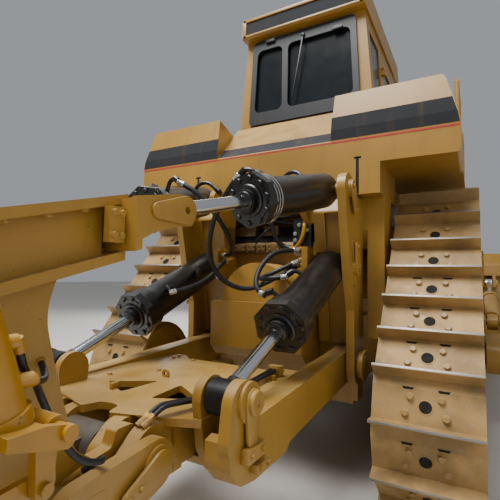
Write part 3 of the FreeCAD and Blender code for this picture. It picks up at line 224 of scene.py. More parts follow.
def thickened(piece, radius, ring_steps):
    """Gives a line its round thickness, in metres, and closed ends, and makes it a mesh."""
    piece.data.bevel_depth = radius
    piece.data.bevel_resolution = ring_steps
    piece.data.use_fill_caps = True
    pick(piece)
    bpy.ops.object.convert(target="MESH")
    bpy.ops.object.shade_smooth_by_angle(angle=math.radians(50))
    return bpy.context.active_object


def pipe(name, route, radius):
    """A rigid round pipe along a route of points in the machine's frame, in millimetres."""
    return thickened(bent_line(name, [at(*place) for place in route], 8), radius / 1000, 5)


def bored(piece, place, facing, radius, depth):
    """Bores a round hole into a piece from a place on its face."""
    drill = turned("drill", [(radius, -2), (radius, depth)], 32)
    stand(drill, place, -facing)
    pick(piece)
    hole = piece.modifiers.new("bore", "BOOLEAN")
    hole.object = drill
    hole.operation = "DIFFERENCE"
    bpy.ops.object.modifier_apply(modifier=hole.name)
    bpy.data.objects.remove(drill)
    return piece


def joined(name, pieces):
    """Joins pieces into the first of them, under a new name."""
    pick(*pieces)
    if len(pieces) > 1:
        bpy.ops.object.join()
    piece = bpy.context.active_object
    piece.name = name
    return piece


def belongs(piece, name, body, finish):
    """Names a finished piece, gives it its finish and lets it ride on its body."""
    piece.name = name
    piece.data.materials.clear()
    piece.data.materials.append(FINISHES[finish])
    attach(piece, body)
    return piece


def hex_bolt(size):
    """A hexagon bolt head on its hardened washer, for a thread of that many millimetres."""
    washer = turned("washer", [(size * 1.05, 0), (size * 1.05, size * 0.13), (size * 0.98, size * 0.17)], 20)
    head = turned("head", [(size * 0.86, size * 0.15), (size * 0.86, size * 0.68), (size * 0.74, size * 0.78)], 6)
    both = joined("hex_bolt", [washer, head])
    soften(both, 0)
    return both


def linear(code):
    """An sRGB hex colour as the linear colour that shaders take."""
    parts = [int(code[i:i + 2], 16) / 255 for i in (1, 3, 5)]
    return tuple(c / 12.92 if c <= 0.04045 else ((c + 0.055) / 1.055) ** 2.4 for c in parts) + (1.0,)


def wire(material, node, links):
    """Gives a node's sockets a value, or another node's output."""
    for socket, value in links.items():
        if isinstance(value, bpy.types.NodeSocket):
            material.node_tree.links.new(value, node.inputs[socket])
        else:
            node.inputs[socket].default_value = value


def add(material, kind, links=None, out=0, **settings):
    """Adds a node with its settings and what its sockets take, and gives one of its outputs."""
    node = material.node_tree.nodes.new(kind)
    for name, value in settings.items():
        setattr(node, name, value)
    wire(material, node, links or {})
    return node.outputs[out]


# Settings that many nodes share: a smooth step between two values, a mix of colours and a product
SMOOTH = {"interpolation_type": "SMOOTHSTEP"}
COLOURS = {"data_type": "RGBA", "out": 2}
TIMES = {"operation": "MULTIPLY"}


def grain(size_mm, detail=4.0, roughness=0.55):
    """The sockets of a noise whose blotches are about that many millimetres across."""
    return {"Scale": 1000.0 / size_mm, "Detail": detail, "Roughness": roughness}


def span(value, low, high):
    """The sockets of a range that runs from 0 at low to 1 at high."""
    return {"Value": value, "From Min": low, "From Max": high}


def finish_named(name):
    """A new empty material with its shader, and the object's own coordinates."""
    material = bpy.data.materials.new(name)
    material.use_nodes = True
    shader = material.node_tree.nodes["Principled BSDF"]
    return material, shader, add(material, "ShaderNodeTexCoord", out="Object")


def settled(material, grains):
    """How much dust lies: some of the grains on faces that look at the sky, and none on upright ones."""
    normal = add(material, "ShaderNodeNewGeometry", out="Normal")
    height = add(material, "ShaderNodeSeparateXYZ", {0: normal}, out="Z")
    level = add(material, "ShaderNodeMapRange", span(height, 0.35, 0.95), **SMOOTH)
    return add(material, "ShaderNodeMath", {0: level, 1: grains}, **TIMES)


def machine_enamel(name, paint, shade, dust, dust_amount=0.55, gloss=0.42, coat=0.12):
    """Alkyd machine enamel, sprayed over primed steel: a soft gloss with orange peel, paler where dust lies
    on upward faces, browner where oil and dirt have run down, and chipped to primer in small specks."""
    material, shader, place = finish_named(name)
    patches = add(material, "ShaderNodeTexNoise", {"Vector": place, **grain(900, 5)})
    faded = add(material, "ShaderNodeMapRange", span(patches, 0.3, 0.7), **SMOOTH)
    colour = add(material, "ShaderNodeMix", {"Factor": faded, 6: linear(paint), 7: linear(shade)}, **COLOURS)
    drawn_down = add(material, "ShaderNodeMapping", {"Vector": place, "Scale": (1, 1, 0.09)})
    runs = add(material, "ShaderNodeTexNoise", {"Vector": drawn_down, **grain(90, 5)})
    streaks = add(material, "ShaderNodeMapRange", span(runs, 0.52, 0.82), **SMOOTH)
    stain = add(material, "ShaderNodeMath", {0: streaks, 1: 0.34}, **TIMES)
    colour = add(material, "ShaderNodeMix", {"Factor": stain, 6: colour, 7: linear("#5E451D")}, **COLOURS)
    powder = add(material, "ShaderNodeTexNoise", {"Vector": place, **grain(260, 8, 0.62)})
    lying = settled(material, add(material, "ShaderNodeMapRange", span(powder, 0.30, 0.72), **SMOOTH))
    film = add(material, "ShaderNodeMath", {0: lying, 1: dust_amount}, **TIMES)
    colour = add(material, "ShaderNodeMix", {"Factor": film, 6: colour, 7: linear(dust)}, **COLOURS)
    specks = add(material, "ShaderNodeTexNoise", {"Vector": place, **grain(14, 3, 0.4)})
    chips = add(material, "ShaderNodeMapRange", span(specks, 0.735, 0.75), **SMOOTH)
    chipped = add(material, "ShaderNodeMath", {0: chips, 1: 0.8}, **TIMES)
    colour = add(material, "ShaderNodeMix", {"Factor": chipped, 6: colour, 7: linear("#4A3420")}, **COLOURS)
    rough = add(material, "ShaderNodeMapRange", {"Value": lying, "To Min": gloss, "To Max": 0.85})
    peel = add(material, "ShaderNodeTexNoise", {"Vector": place, **grain(7, 2)})
    bump = add(material, "ShaderNodeBump", {"Height": peel, "Strength": 0.06, "Distance": 0.002})
    wire(material, shader, {"Base Color": colour, "Roughness": rough, "Normal": bump, "Coat Weight": coat,
                            "Coat Roughness": 0.28})
    return material


def track_steel():
    """Rolled steel shoes under thin machine paint: dull tan with bare, rubbed steel and dried mud."""
    material, shader, place = finish_named("track_shoe_paint_over_rolled_steel")
    patches = add(material, "ShaderNodeTexNoise", {"Vector": place, **grain(260, 6)})
    faded = add(material, "ShaderNodeMapRange", span(patches, 0.35, 0.66), **SMOOTH)
    colour = add(material, "ShaderNodeMix", {"Factor": faded, 6: linear("#A58450"), 7: linear("#80663C")},
                 **COLOURS)
    scuffs = add(material, "ShaderNodeTexNoise", {"Vector": place, **grain(60, 6, 0.7)})
    rubbed = add(material, "ShaderNodeMapRange", span(scuffs, 0.55, 0.72), **SMOOTH)
    bare = add(material, "ShaderNodeMath", {0: rubbed, 1: 0.5}, **TIMES)
    colour = add(material, "ShaderNodeMix", {"Factor": bare, 6: colour, 7: linear("#7F776A")}, **COLOURS)
    cakes = add(material, "ShaderNodeTexNoise", {"Vector": place, **grain(420, 8, 0.7)})
    mud = add(material, "ShaderNodeMath", {0: add(material, "ShaderNodeMapRange", span(cakes, 0.55, 0.7),
              **SMOOTH), 1: 0.45}, **TIMES)
    colour = add(material, "ShaderNodeMix", {"Factor": mud, 6: colour, 7: linear("#6E5638")}, **COLOURS)
    rough = add(material, "ShaderNodeMapRange", {"Value": rubbed, "To Min": 0.62, "To Max": 0.42})
    scale = add(material, "ShaderNodeTexNoise", {"Vector": place, **grain(18, 6)})
    bump = add(material, "ShaderNodeBump", {"Height": scale, "Strength": 0.25, "Distance": 0.004})
    wire(material, shader, {"Base Color": colour, "Roughness": rough, "Normal": bump, "Metallic": 0.15})
    return material


def gloss_black():
    """Two-pack gloss black on the cylinder tubes: a soft mirror, with a film of pale dust on top."""
    material, shader, place = finish_named("gloss_black_cylinder_enamel")
    powder = add(material, "ShaderNodeTexNoise", {"Vector": place, **grain(160, 7)})
    lying = settled(material, add(material, "ShaderNodeMapRange", span(powder, 0.25, 0.75), **SMOOTH))
    film = add(material, "ShaderNodeMath", {0: lying, 1: 0.3}, **TIMES)
    colour = add(material, "ShaderNodeMix", {"Factor": film, 6: linear("#0D0D0E"), 7: linear("#4C4B48")}, **COLOURS)
    rough = add(material, "ShaderNodeMapRange", {"Value": lying, "To Min": 0.32, "To Max": 0.6})
    peel = add(material, "ShaderNodeTexNoise", {"Vector": place, **grain(9, 2)})
    bump = add(material, "ShaderNodeBump", {"Height": peel, "Strength": 0.04, "Distance": 0.002})
    wire(material, shader, {"Base Color": colour, "Roughness": rough, "Normal": bump, "Coat Weight": 0.25,
                            "Coat Roughness": 0.25})
    return material


def grinding_marks(material, place):
    """The roughness of a ground and polished bar, with fine marks round it."""
    round_bar = add(material, "ShaderNodeMapping", {"Vector": place, "Scale": (1, 0.2, 0.2)})
    marks = add(material, "ShaderNodeTexNoise", {"Vector": round_bar, **grain(2.5, 2)})
    return add(material, "ShaderNodeMapRange", {"Value": marks, "To Min": 0.08, "To Max": 0.2})


def hard_chrome():
    """Ground hard chrome on the rods: a clean mirror with fine grinding marks round the bar."""
    material, shader, place = finish_named("ground_hard_chrome")
    wire(material, shader, {"Base Color": linear("#D9DADB"), "Roughness": grinding_marks(material, place),
                            "Metallic": 1.0})
    return material


def rod_with_black_eye(name, eye, base, reach):
    """Ground hard chrome up to the eye, whose ring and neck are brushed over with gloss black enamel."""
    material, shader, place = finish_named(name)
    axis = (base - eye).normalized()
    from_eye = add(material, "ShaderNodeVectorMath", {0: place, 1: tuple(-eye)}, operation="ADD")
    along = add(material, "ShaderNodeVectorMath", {0: from_eye, 1: tuple(axis)}, out="Value",
                operation="DOT_PRODUCT")
    brushed = add(material, "ShaderNodeTexNoise", {"Vector": place, **grain(40, 3)})
    wavy = add(material, "ShaderNodeMath", {0: brushed, 1: 0.012}, **TIMES)
    edge = add(material, "ShaderNodeMath", {0: along, 1: wavy}, operation="SUBTRACT")
    bare = add(material, "ShaderNodeMapRange", span(edge, reach, reach + 0.002), **SMOOTH)
    grease = add(material, "ShaderNodeTexNoise", {"Vector": place, **grain(25, 5)})
    greasy = add(material, "ShaderNodeMapRange", span(grease, 0.4, 0.75), **SMOOTH)
    film = add(material, "ShaderNodeMath", {0: greasy, 1: 0.25}, **TIMES)
    enamel = add(material, "ShaderNodeMix", {"Factor": film, 6: linear("#0F0F10"), 7: linear("#3C3A36")}, **COLOURS)
    colour = add(material, "ShaderNodeMix", {"Factor": bare, 6: enamel, 7: linear("#D9DADB")}, **COLOURS)
    painted = add(material, "ShaderNodeMath", {0: 1.0, 1: bare}, operation="SUBTRACT")
    dulled = add(material, "ShaderNodeMath", {0: painted, 1: 0.26}, **TIMES)
    rough = add(material, "ShaderNodeMath", {0: grinding_marks(material, place), 1: dulled}, operation="ADD")
    wire(material, shader, {"Base Color": colour, "Roughness": rough, "Metallic": bare})
    return material


def bare_steel():
    """Abrasion-resistant steel of the edge, shank and pins: brown rust film with rubbed bright patches."""
    material, shader, place = finish_named("rubbed_and_rusted_wear_steel")
    patches = add(material, "ShaderNodeTexNoise", {"Vector": place, **grain(150, 6, 0.6)})
    rust = add(material, "ShaderNodeMapRange", span(patches, 0.36, 0.7), **SMOOTH)
    colour = add(material, "ShaderNodeMix", {"Factor": rust, 6: linear("#6F675E"), 7: linear("#4F3B2B")}, **COLOURS)
    rough = add(material, "ShaderNodeMapRange", {"Value": rust, "To Min": 0.38, "To Max": 0.8})
    metal = add(material, "ShaderNodeMapRange", {"Value": rust, "To Min": 0.9, "To Max": 0.15})
    pits = add(material, "ShaderNodeTexNoise", {"Vector": place, **grain(12, 5)})
    bump = add(material, "ShaderNodeBump", {"Height": pits, "Strength": 0.3, "Distance": 0.003})
    wire(material, shader, {"Base Color": colour, "Roughness": rough, "Metallic": metal, "Normal": bump})
    return material


def tinted_glass():
    """Toughened cab glass with a green-grey tint: dark from outside, with a clear gloss."""
    material, shader, place = finish_named("tinted_toughened_glass")
    smears = add(material, "ShaderNodeTexNoise", {"Vector": place, **grain(160, 5)})
    rough = add(material, "ShaderNodeMapRange", {"Value": smears, "To Min": 0.12, "To Max": 0.24})
    wire(material, shader, {"Base Color": linear("#15181B"), "Roughness": rough, "Alpha": 0.86, "IOR": 1.5})
    return material


def hose_rubber():
    """Synthetic rubber cover of the hydraulic hoses: matt black, with a fine wrapped-cloth grain."""
    material, shader, place = finish_named("wrapped_hose_rubber")
    weave = add(material, "ShaderNodeTexNoise", {"Vector": place, **grain(3, 2)})
    rough = add(material, "ShaderNodeMapRange", {"Value": weave, "To Min": 0.42, "To Max": 0.6})
    bump = add(material, "ShaderNodeBump", {"Height": weave, "Strength": 0.15, "Distance": 0.001})
    wire(material, shader, {"Base Color": linear("#141415"), "Roughness": rough, "Normal": bump})
    return material


def seat_vinyl():
    """Embossed black vinyl of the seat, with a pebble grain about two and a half millimetres across."""
    material, shader, place = finish_named("embossed_black_vinyl")
    pebbles = add(material, "ShaderNodeTexVoronoi", {"Vector": place, "Scale": 1000 / 2.5})
    rough = add(material, "ShaderNodeMapRange", {"Value": pebbles, "To Min": 0.45, "To Max": 0.65})
    bump = add(material, "ShaderNodeBump", {"Height": pebbles, "Strength": 0.3, "Distance": 0.001})
    wire(material, shader, {"Base Color": linear("#1B1B1C"), "Roughness": rough, "Normal": bump})
    return material


def shaded_hole():
    """Painted shade for the inside of holes, gaps and slots: near black, in blotches that are a little browner."""
    material, shader, place = finish_named("painted_shade_in_holes")
    cakes = add(material, "ShaderNodeTexNoise", {"Vector": place, **grain(30, 5)})
    mud = add(material, "ShaderNodeMapRange", span(cakes, 0.4, 0.7), **SMOOTH)
    # Both colours are painted shade; the browner blotches only break it up.
    colour = add(material, "ShaderNodeMix", {"Factor": mud, 6: linear("#0B0A09"), 7: linear("#211B12")}, **COLOURS)
    wire(material, shader, {"Base Color": colour, "Roughness": 0.95})
    return material


def bright_metal(name, colour, low, high, grain_mm):
    """Bare bright metal with fine uneven rubbing: plated fittings and the polished edges of the grousers."""
    material, shader, place = finish_named(name)
    rubbing = add(material, "ShaderNodeTexNoise", {"Vector": place, **grain(grain_mm, 5)})
    blots = add(material, "ShaderNodeTexNoise", {"Vector": place, **grain(grain_mm * 8, 6)})
    stain = add(material, "ShaderNodeMath", {0: add(material, "ShaderNodeMapRange", span(blots, 0.5, 0.75),
                **SMOOTH), 1: 0.6}, **TIMES)
    tone = add(material, "ShaderNodeMix", {"Factor": stain, 6: linear(colour), 7: linear("#6A5A44")}, **COLOURS)
    rough = add(material, "ShaderNodeMapRange", {"Value": rubbing, "To Min": low, "To Max": high})
    wire(material, shader, {"Base Color": tone, "Roughness": rough, "Metallic": 0.9})
    return material


# Every finish by its name, and the slot of the record that it stands for where that has another name
FINISHES = {}


def mix_finishes():
    """Makes every finish once: the slots of the record first, then those of the dressing."""
    FINISHES.update({
        "yellow_paint": machine_enamel("ochre_machine_enamel", "#9D762A", "#8A6622", "#A58B57"),
        "track_steel": track_steel(), "black_paint": gloss_black(), "chrome": hard_chrome(),
        "bare_steel": bare_steel(), "glass": tinted_glass(), "seat_vinyl": seat_vinyl(),
        "hose_rubber": hose_rubber()})
    for slot in ("dark_paint", "dark_plastic"):
        FINISHES[slot] = machine_enamel("satin_charcoal_enamel", "#26282D", "#1E2024", "#5F5A50", dust_amount=0.3,
                                        gloss=0.55)
    FINISHES.update({
        "shoe_bolt": machine_enamel("shoe_bolt_enamel", "#9A7A42", "#7C5E30", "#998258", gloss=0.5),
        "shadow": shaded_hole(),
        "polished_edge": bright_metal("rubbed_grouser_edge", "#8E8981", 0.38, 0.65, 20),
        "plating": bright_metal("zinc_plated_fitting", "#C9C8C2", 0.22, 0.4, 8),
        "brass": bright_metal("brass_union", "#B08A45", 0.28, 0.45, 8),
        "lens": bright_metal("ribbed_lamp_lens", "#D9DCDC", 0.12, 0.25, 12),
        # The middle band's own grey, darkened to near black to take in the shadow that the wings cast on it: partly
        # painted shadow.
        "middle_band_and_painted_shadow": machine_enamel("middle_band_enamel_with_painted_shadow", "#1C1E24", "#17191D", "#3A3833", dust_amount=0.12,
                                    gloss=0.9, coat=0.0),
        "band_black": machine_enamel("matt_band_enamel", "#121419", "#0F1114", "#34322E", dust_amount=0.1,
                                     gloss=0.9, coat=0.0),
        "red_line": machine_enamel("red_line_enamel", "#B3262F", "#A3222A", "#A98772", dust_amount=0.3),
        "fresh": machine_enamel("fresh_yellow_enamel", "#A47516", "#8C6412", "#A08A58", dust_amount=0.25,
                                gloss=0.3),
        "black_frame": machine_enamel("black_frame_enamel", "#141519", "#101114", "#3E3C38", dust_amount=0.3,
                                      gloss=0.5),
        # A darker brown copy of the yellow enamel, for the valve block and its bolts in the hollow.
        "dark_brown": machine_enamel("dark_brown_casting_enamel", "#6E5122", "#3C2D18", "#4C3F2B", gloss=0.36)})


# The studio's broad lights: name, place in metres, width in metres and power in watts
SOFT_LIGHTS = (("soft_key", (1.2, 4.9, 10.3), 5.0, 1950),
               ("soft_fill", (-9.0, 6.0, 5.0), 8.0, 260),
               ("soft_front", (7.0, -9.0, 7.0), 7.0, 900))
LIT_POINT = Vector((0, 1.8, 1.5))


def floor_and_light():
    """A pale studio floor, a broad soft light overhead behind the machine, two weaker ones beside and in front
    of it, and a pale surround."""
    clear_selection()
    bpy.ops.mesh.primitive_plane_add(size=120, location=(0, 0, -0.001))
    floor = bpy.context.active_object
    floor.name = "studio_floor"
    material, shader, place = finish_named("pale_studio_floor")
    shader.inputs["Base Color"].default_value = linear("#CFCBC3")
    shader.inputs["Roughness"].default_value = 0.9
    floor.data.materials.append(material)
    world = bpy.data.worlds.new("pale_surround")
    world.use_nodes = True
    world.node_tree.nodes["Background"].inputs["Color"].default_value = linear("#E3E8EE")
    world.node_tree.nodes["Background"].inputs["Strength"].default_value = 0.42
    bpy.context.scene.world = world
    for name, place, size, power in SOFT_LIGHTS:
        data = bpy.data.lights.new(name, "AREA")
        data.size = size
        data.energy = power
        light = bpy.data.objects.new(name, data)
        bpy.context.collection.objects.link(light)
        light.location = place
        light.rotation_euler = (LIT_POINT - Vector(place)).to_track_quat("-Z", "Y").to_euler()


# The hoses of the ripper's cylinders: points in metres, from each cylinder's elbow to the block on the tower
HOSES = (
    ("tilt_hose_right", "ripper_tilt_barrel_right", 1.573, ((-0.25, 2.93, 2.262), (-0.15, 2.912, 2.168),
     (-0.025, 2.87, 2.02), (0.062, 2.81, 1.855), (0.095, 2.73, 1.69), (0.04, 2.62, 1.56), (-0.07, 2.48, 1.51),
     (-0.18, 2.35, 1.58), (-0.262, 2.228, 1.652), (-0.345, 2.112, 1.722))),
    ("tilt_cap_hose_right", "ripper_tilt_barrel_right", 0.669, ((-0.25, 2.4, 2.3), (-0.205, 2.38, 2.22),
     (-0.18, 2.35, 2.12), (-0.172, 2.31, 2.01), (-0.19, 2.26, 1.905), (-0.24, 2.2, 1.83), (-0.345, 2.13, 1.8))),
    ("lift_hose_right", "ripper_lift_barrel_right", 0.81, ((-0.385, 2.82, 1.5), (-0.31, 2.77, 1.52),
     (-0.245, 2.69, 1.58), (-0.215, 2.58, 1.67), (-0.225, 2.46, 1.76), (-0.262, 2.345, 1.815),
     (-0.345, 2.19, 1.825))),
    ("lift_cap_hose_right", "ripper_lift_barrel_right", 0.656, ((-0.385, 2.47, 1.621), (-0.308, 2.515, 1.607),
     (-0.22, 2.506, 1.598), (-0.154, 2.446, 1.6), (-0.135, 2.36, 1.612), (-0.168, 2.288, 1.642),
     (-0.245, 2.235, 1.685), (-0.345, 2.185, 1.738))),
    ("tilt_hose_left", "ripper_tilt_barrel_left", 1.11, ((0.25, 2.93, 2.262), (0.17, 2.905, 2.225),
     (0.095, 2.85, 2.15), (0.045, 2.76, 2.05), (0.035, 2.64, 1.95), (0.07, 2.5, 1.87), (0.14, 2.37, 1.815),
     (0.24, 2.26, 1.79), (0.345, 2.18, 1.79))),
    ("lift_hose_left", "ripper_lift_barrel_left", 0.775, ((0.385, 2.83, 1.49), (0.32, 2.75, 1.51),
     (0.28, 2.63, 1.545), (0.27, 2.5, 1.6), (0.28, 2.37, 1.67), (0.31, 2.26, 1.725), (0.345, 2.14, 1.74))),
)
HOSE_THICK = 0.036
# A crimped sleeve over the hose's end, as rings of (radius, height) in millimetres
SLEEVE = ((19.5, 0), (21, 2), (21, 10), (19.6, 12), (19.6, 18), (21, 20), (21, 28), (19.6, 30), (19.6, 36),
          (21, 38), (21, 50), (18.6, 53))


def ripper_hoses():
    """The six hydraulic hoses, each with a crimped sleeve at both ends."""
    for node, barrel, length, route in HOSES:
        points = [Vector((x, y + SHIFT_Y, z)) for x, y, z in route]
        piece = bent_line(node + "_dressed", points, 12)
        path = [tuple(vertex.co) for vertex in bpy.data.meshes.new_from_object(piece).vertices]
        piece = thickened(piece, HOSE_THICK / 2, 6)
        piece.data.materials.clear()
        piece.data.materials.append(FINISHES["hose_rubber"])
        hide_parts(node)
        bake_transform(piece)
        for tail, end, into, body in (("sleeve_at_cylinder", points[0], points[1], barrel),
                                      ("sleeve_at_block", points[-1], points[-2], "tractor")):
            sleeve = spun("sleeve", SLEEVE, 28)
            stand(sleeve, end, into - end)
            belongs(sleeve, node + "_" + tail, body, "plating")


# Machine sizes that the dressing needs, in millimetres, as in the solids
TRACK_MIDDLE, SHOE_COUNT = 1275.0, 44
WHEELS = (((1936.0, 693.0), 500.0), ((1080.0, 1720.0), 530.0), ((-1936.0, 693.0), 500.0))
SHOE_FACE, GROUSER_TIP, GROUSER_HALF = 100.0, 193.0, 303
# Where the mud hole, the grouser and the notches lie along a link, and the Y past which the track curves
HOLE_SHARE, GROUSER_SHARE, NOTCH_SHARE = 0.6, 0.125, 0.985
CURVE_FROM = 1980
LOW_PIVOT = (1960.0, 960.0)
LIFT_BASE, LIFT_EYE = (568.0, 2110.0, 1690.0), (568.0, 3550.0, 1085.0)
TILT_BASE, TILT_EYE = (550.0, 2250.0, 2260.0), (300.0, 3690.0, 1900.0)
CARRIAGE_PIVOT = (3800.0, 860.0)
TILT_PIN = (3690.0, 1900.0)
# X of the tower's outside, its hose ports, the lift arm's outside and its bars, the carriage's cheek and beam
TOWER_FACE, PORT_X, ARM_FACE, BAR_FACE, CHEEK_FACE, BEAM_FACE = 785.0, 408, 700, 730, 433, 384
DECK_TOP = 998
# The tank: its upright rear face, the wings' edges, the height where they lean, and the painted bands
TANK_REAR, WING_INNER, WING_OUTER, WING_LEANS = 2020, 549, 1466, 2740
WING_BANDS, RED_LINE = ((2712, 2793), (2793, 2905)), (2686, 2698)
SLOPE_FOOT, SLOPE_TOP = (TANK_REAR, 2700), (1360, 3225)
# How thick the bands are drawn, and how far they stand off the sheet under them
BAND_THICK, BAND_GAP = 1.5, 0.6
# The carriage's top beam falls towards the rear at this angle, from this (Y, Z)
BEAM_FALL, BEAM_START = math.radians(15), (3900, 1945)
# The blade: the way its edge faces, the edge's Y and height of bolts, and the wing's corner and turn
EDGE_FACING, EDGE_BOLTS = Vector((0, -0.886, 0.461)), (-3755, 156)
WING_CORNER, WING_TURN = (1550, -3400), math.radians(20)
# The tops of the exhaust stacks and air cleaners, the hood's side and its doors' lower and upper edge
STACK_TOP, CLEANER_TOP = (330, -1150, 3540), (330, -1650, 3040)
HOOD_SIDE, DOOR_LOW, DOOR_HIGH = 558, 1690, 2600
# The visor's panel inside its rim, and the rear window's outer face
PANEL_HALF, PANEL_LOW, PANEL_HIGH = 622, 4262, 4408
RIM_HALF, RIM_LOW, RIM_HIGH = 655, 4240, 4438
WINDOW_FACE = 1326
SEAT_HINGE = 850, 2860
UP, REAR = Vector((0, 0, 1)), Vector((0, 1, 0))
SIDES = ((1, "left"), (-1, "right"))


def outward(side):
    """The way that faces out of the machine on one side."""
    return Vector((side, 0, 0))


def chain_pins():
    """The (Y, Z) of each chain pin, evenly spaced along the loop over the three wheels."""
    runs = []
    for i, (centre, radius) in enumerate(WHEELS):
        angles = []
        for a, b in ((WHEELS[i - 1], (centre, radius)), ((centre, radius), WHEELS[(i + 1) % 3])):
            dy, dz = b[0][0] - a[0][0], b[0][1] - a[0][1]
            angles.append(math.atan2(dz, dy) - math.acos((a[1] - b[1]) / math.hypot(dy, dz)))
        sweep = (angles[1] - angles[0]) % (2 * math.pi)
        runs.append(("arc", centre, radius, angles[0], radius * sweep))
        aim = Vector((math.cos(angles[1]), math.sin(angles[1])))
        following = WHEELS[(i + 1) % 3]
        leave, land = Vector(centre) + aim * radius, Vector(following[0]) + aim * following[1]
        runs.append(("line", leave, land, 0, (land - leave).length))
    total = sum(run[4] for run in runs)
    pins = []
    for k in range(SHOE_COUNT):
        s = total * k / SHOE_COUNT
        for kind, a, b, start, length in runs:
            if s <= length:
                if kind == "arc":
                    pins.append(Vector(a) + b * Vector((math.cos(start + s / b), math.sin(start + s / b))))
                else:
                    pins.append(a + (b - a) * s / length)
                break
            s -= length
    return pins


def shoe_seat(k, pins, share, height, x, offset=0.0):
    """The matrix that stands a piece on shoe k: X across the track, Z out of the shoe."""
    start, end = pins[k], pins[(k + 1) % SHOE_COUNT]
    run = end - start
    along = run.normalized()
    out = Vector((0, along.y, -along.x))
    back = Vector((0, -along.x, -along.y))
    spot = start + run * share + along * offset
    place = at(x, spot.x, spot.y) + out * height / 1000
    return Matrix((Vector((1, 0, 0)), back, out)).transposed().to_4x4(), place


def set_on_shoes(model, name, spots, wanted=lambda pin: True):
    """Copies a piece onto the wanted shoes of a track, at each (share of the link, height, X, offset along)."""
    pins = chain_pins()
    made = []
    for k in range(SHOE_COUNT):
        if not wanted(pins[k]):
            continue
        for share, height, x, offset in spots:
            turn, place = shoe_seat(k, pins, share, height, x, offset)
            if place.z < 0.012 and height > 150:
                continue
            copy = model.copy()
            copy.data = model.data.copy()
            bpy.context.collection.objects.link(copy)
            copy.data.transform(Matrix.Translation(place) @ turn)
            made.append(copy)
    bpy.data.objects.remove(model)
    return joined(name, made)


def dress_track(side, word):
    """Shoe bolts in fours, each shoe's mud hole with a disc of painted shade in it, plates of painted shade in the
    gaps between shoes where the track curves, and the rubbed bright edge along each grouser."""
    x = side * TRACK_MIDDLE
    bolts = []
    for offset, spread in ((-46, 111), (50, 85)):
        bolts += [(HOLE_SHARE, SHOE_FACE, x + spread, offset), (HOLE_SHARE, SHOE_FACE, x - spread, offset)]
    made = set_on_shoes(hex_bolt(23), "shoe_bolts_" + word, bolts)
    belongs(made, "shoe_bolts_" + word, "tractor", "shoe_bolt")
    rim = spun("rim", [(44, 0), (44, 1.6), (42, 2.4), (37, 2.4), (35, 0.8)], 24)
    made = set_on_shoes(rim, "shoe_hole_rims_" + word, [(HOLE_SHARE, SHOE_FACE, x, 0)])
    belongs(made, "shoe_hole_rims_" + word, "tractor", "track_steel")
    # A dark disc of painted shade deep in each shoe's mud hole.
    dark = turned("dark", [(36, 0.4), (35.5, 2.0), (20, 1.4), (6, 1.1)], 24)
    made = set_on_shoes(dark, "shoe_hole_shades_" + word, [(HOLE_SHARE, SHOE_FACE, x, 0)])
    belongs(made, "shoe_hole_shades_" + word, "tractor", "shadow")
    # Dark plates of painted shade in the gaps between shoes, where the track curves round a wheel.
    notches = []
    for middle in (-98, 98):
        corners = [at(middle - 34, -4, 0), at(middle + 34, -4, 0), at(middle + 26, 10, 0), at(middle - 26, 10, 0)]
        notches.append(plate("notch", corners, 1.2))
    notch = joined("notch", notches)
    notch.data.transform(Matrix.Translation(-at(0, 0, 0)))
    made = set_on_shoes(notch, "shoe_gap_shades_" + word, [(NOTCH_SHARE, SHOE_FACE, x, 0)],
                        lambda pin: abs(pin.x) > CURVE_FROM)
    belongs(made, "shoe_gap_shades_" + word, "tractor", "shadow")
    edge = block("edge", (-GROUSER_HALF, 0, 0), (GROUSER_HALF, 15, 1.6))
    edge.data.transform(Matrix.Translation(-at(0, 7.5, 0)))
    soften(edge, 0.7)
    made = set_on_shoes(edge, "grouser_edges_" + word, [(GROUSER_SHARE, GROUSER_TIP, x, 0)])
    belongs(made, "grouser_edges_" + word, "tractor", "polished_edge")


def dress_cylinder(kind, side, word, base, eye, share):
    """Flange bolts, gland ring and wiper of one ripper cylinder, and the clamps on its tube."""
    start, end = at(side * base[0], *base[1:]), at(side * eye[0], *eye[1:])
    axis = (end - start).normalized()
    mouth = (end - start).length * share
    barrel = f"ripper_{kind}_barrel_{word}"
    across = axis.orthogonal().normalized()
    ring = []
    for k in range(10):
        turn = Matrix.Rotation(2 * math.pi * (k + 0.5) / 10, 3, axis)
        ring.append((start + axis * (mouth - 0.006) + (turn @ across) * 0.131, axis))
    belongs(copies(hex_bolt(20), ring), f"{kind}_head_bolts_{word}", barrel, "black_paint")
    gland = spun("gland", [(97, 0), (97, 15), (91, 21), (74, 22), (68, 19)], 48)
    stand(gland, start + axis * (mouth - 0.006), axis)
    belongs(gland, f"{kind}_gland_ring_{word}", barrel, "black_paint")
    wiper = spun("wiper", [(58, 0), (58, 7), (52, 12), (41, 12)], 48)
    stand(wiper, start + axis * (mouth + 0.04), axis)
    belongs(wiper, f"{kind}_rod_wiper_{word}", barrel, "black_paint")
    if kind == "tilt":
        bands = []
        for back in (0.082, 0.108, 0.134):
            band = spun("band", [(148.5, 0), (151.5, 1), (151.5, 8), (148.5, 9)], 56)
            bands.append(stand(band, start + axis * (mouth - back), axis))
        lug = block("lug", (-12, -34, 0), (12, 34, 26))
        lug.data.transform(Matrix.Translation(-at(0, 0, 0)))
        stand(lug, start + axis * (mouth - 0.1) + UP * 0.148, UP)
        bands.append(lug)
        clamps = joined("clamps", bands)
        belongs(clamps, f"tilt_hose_clamps_{word}", barrel, "plating")


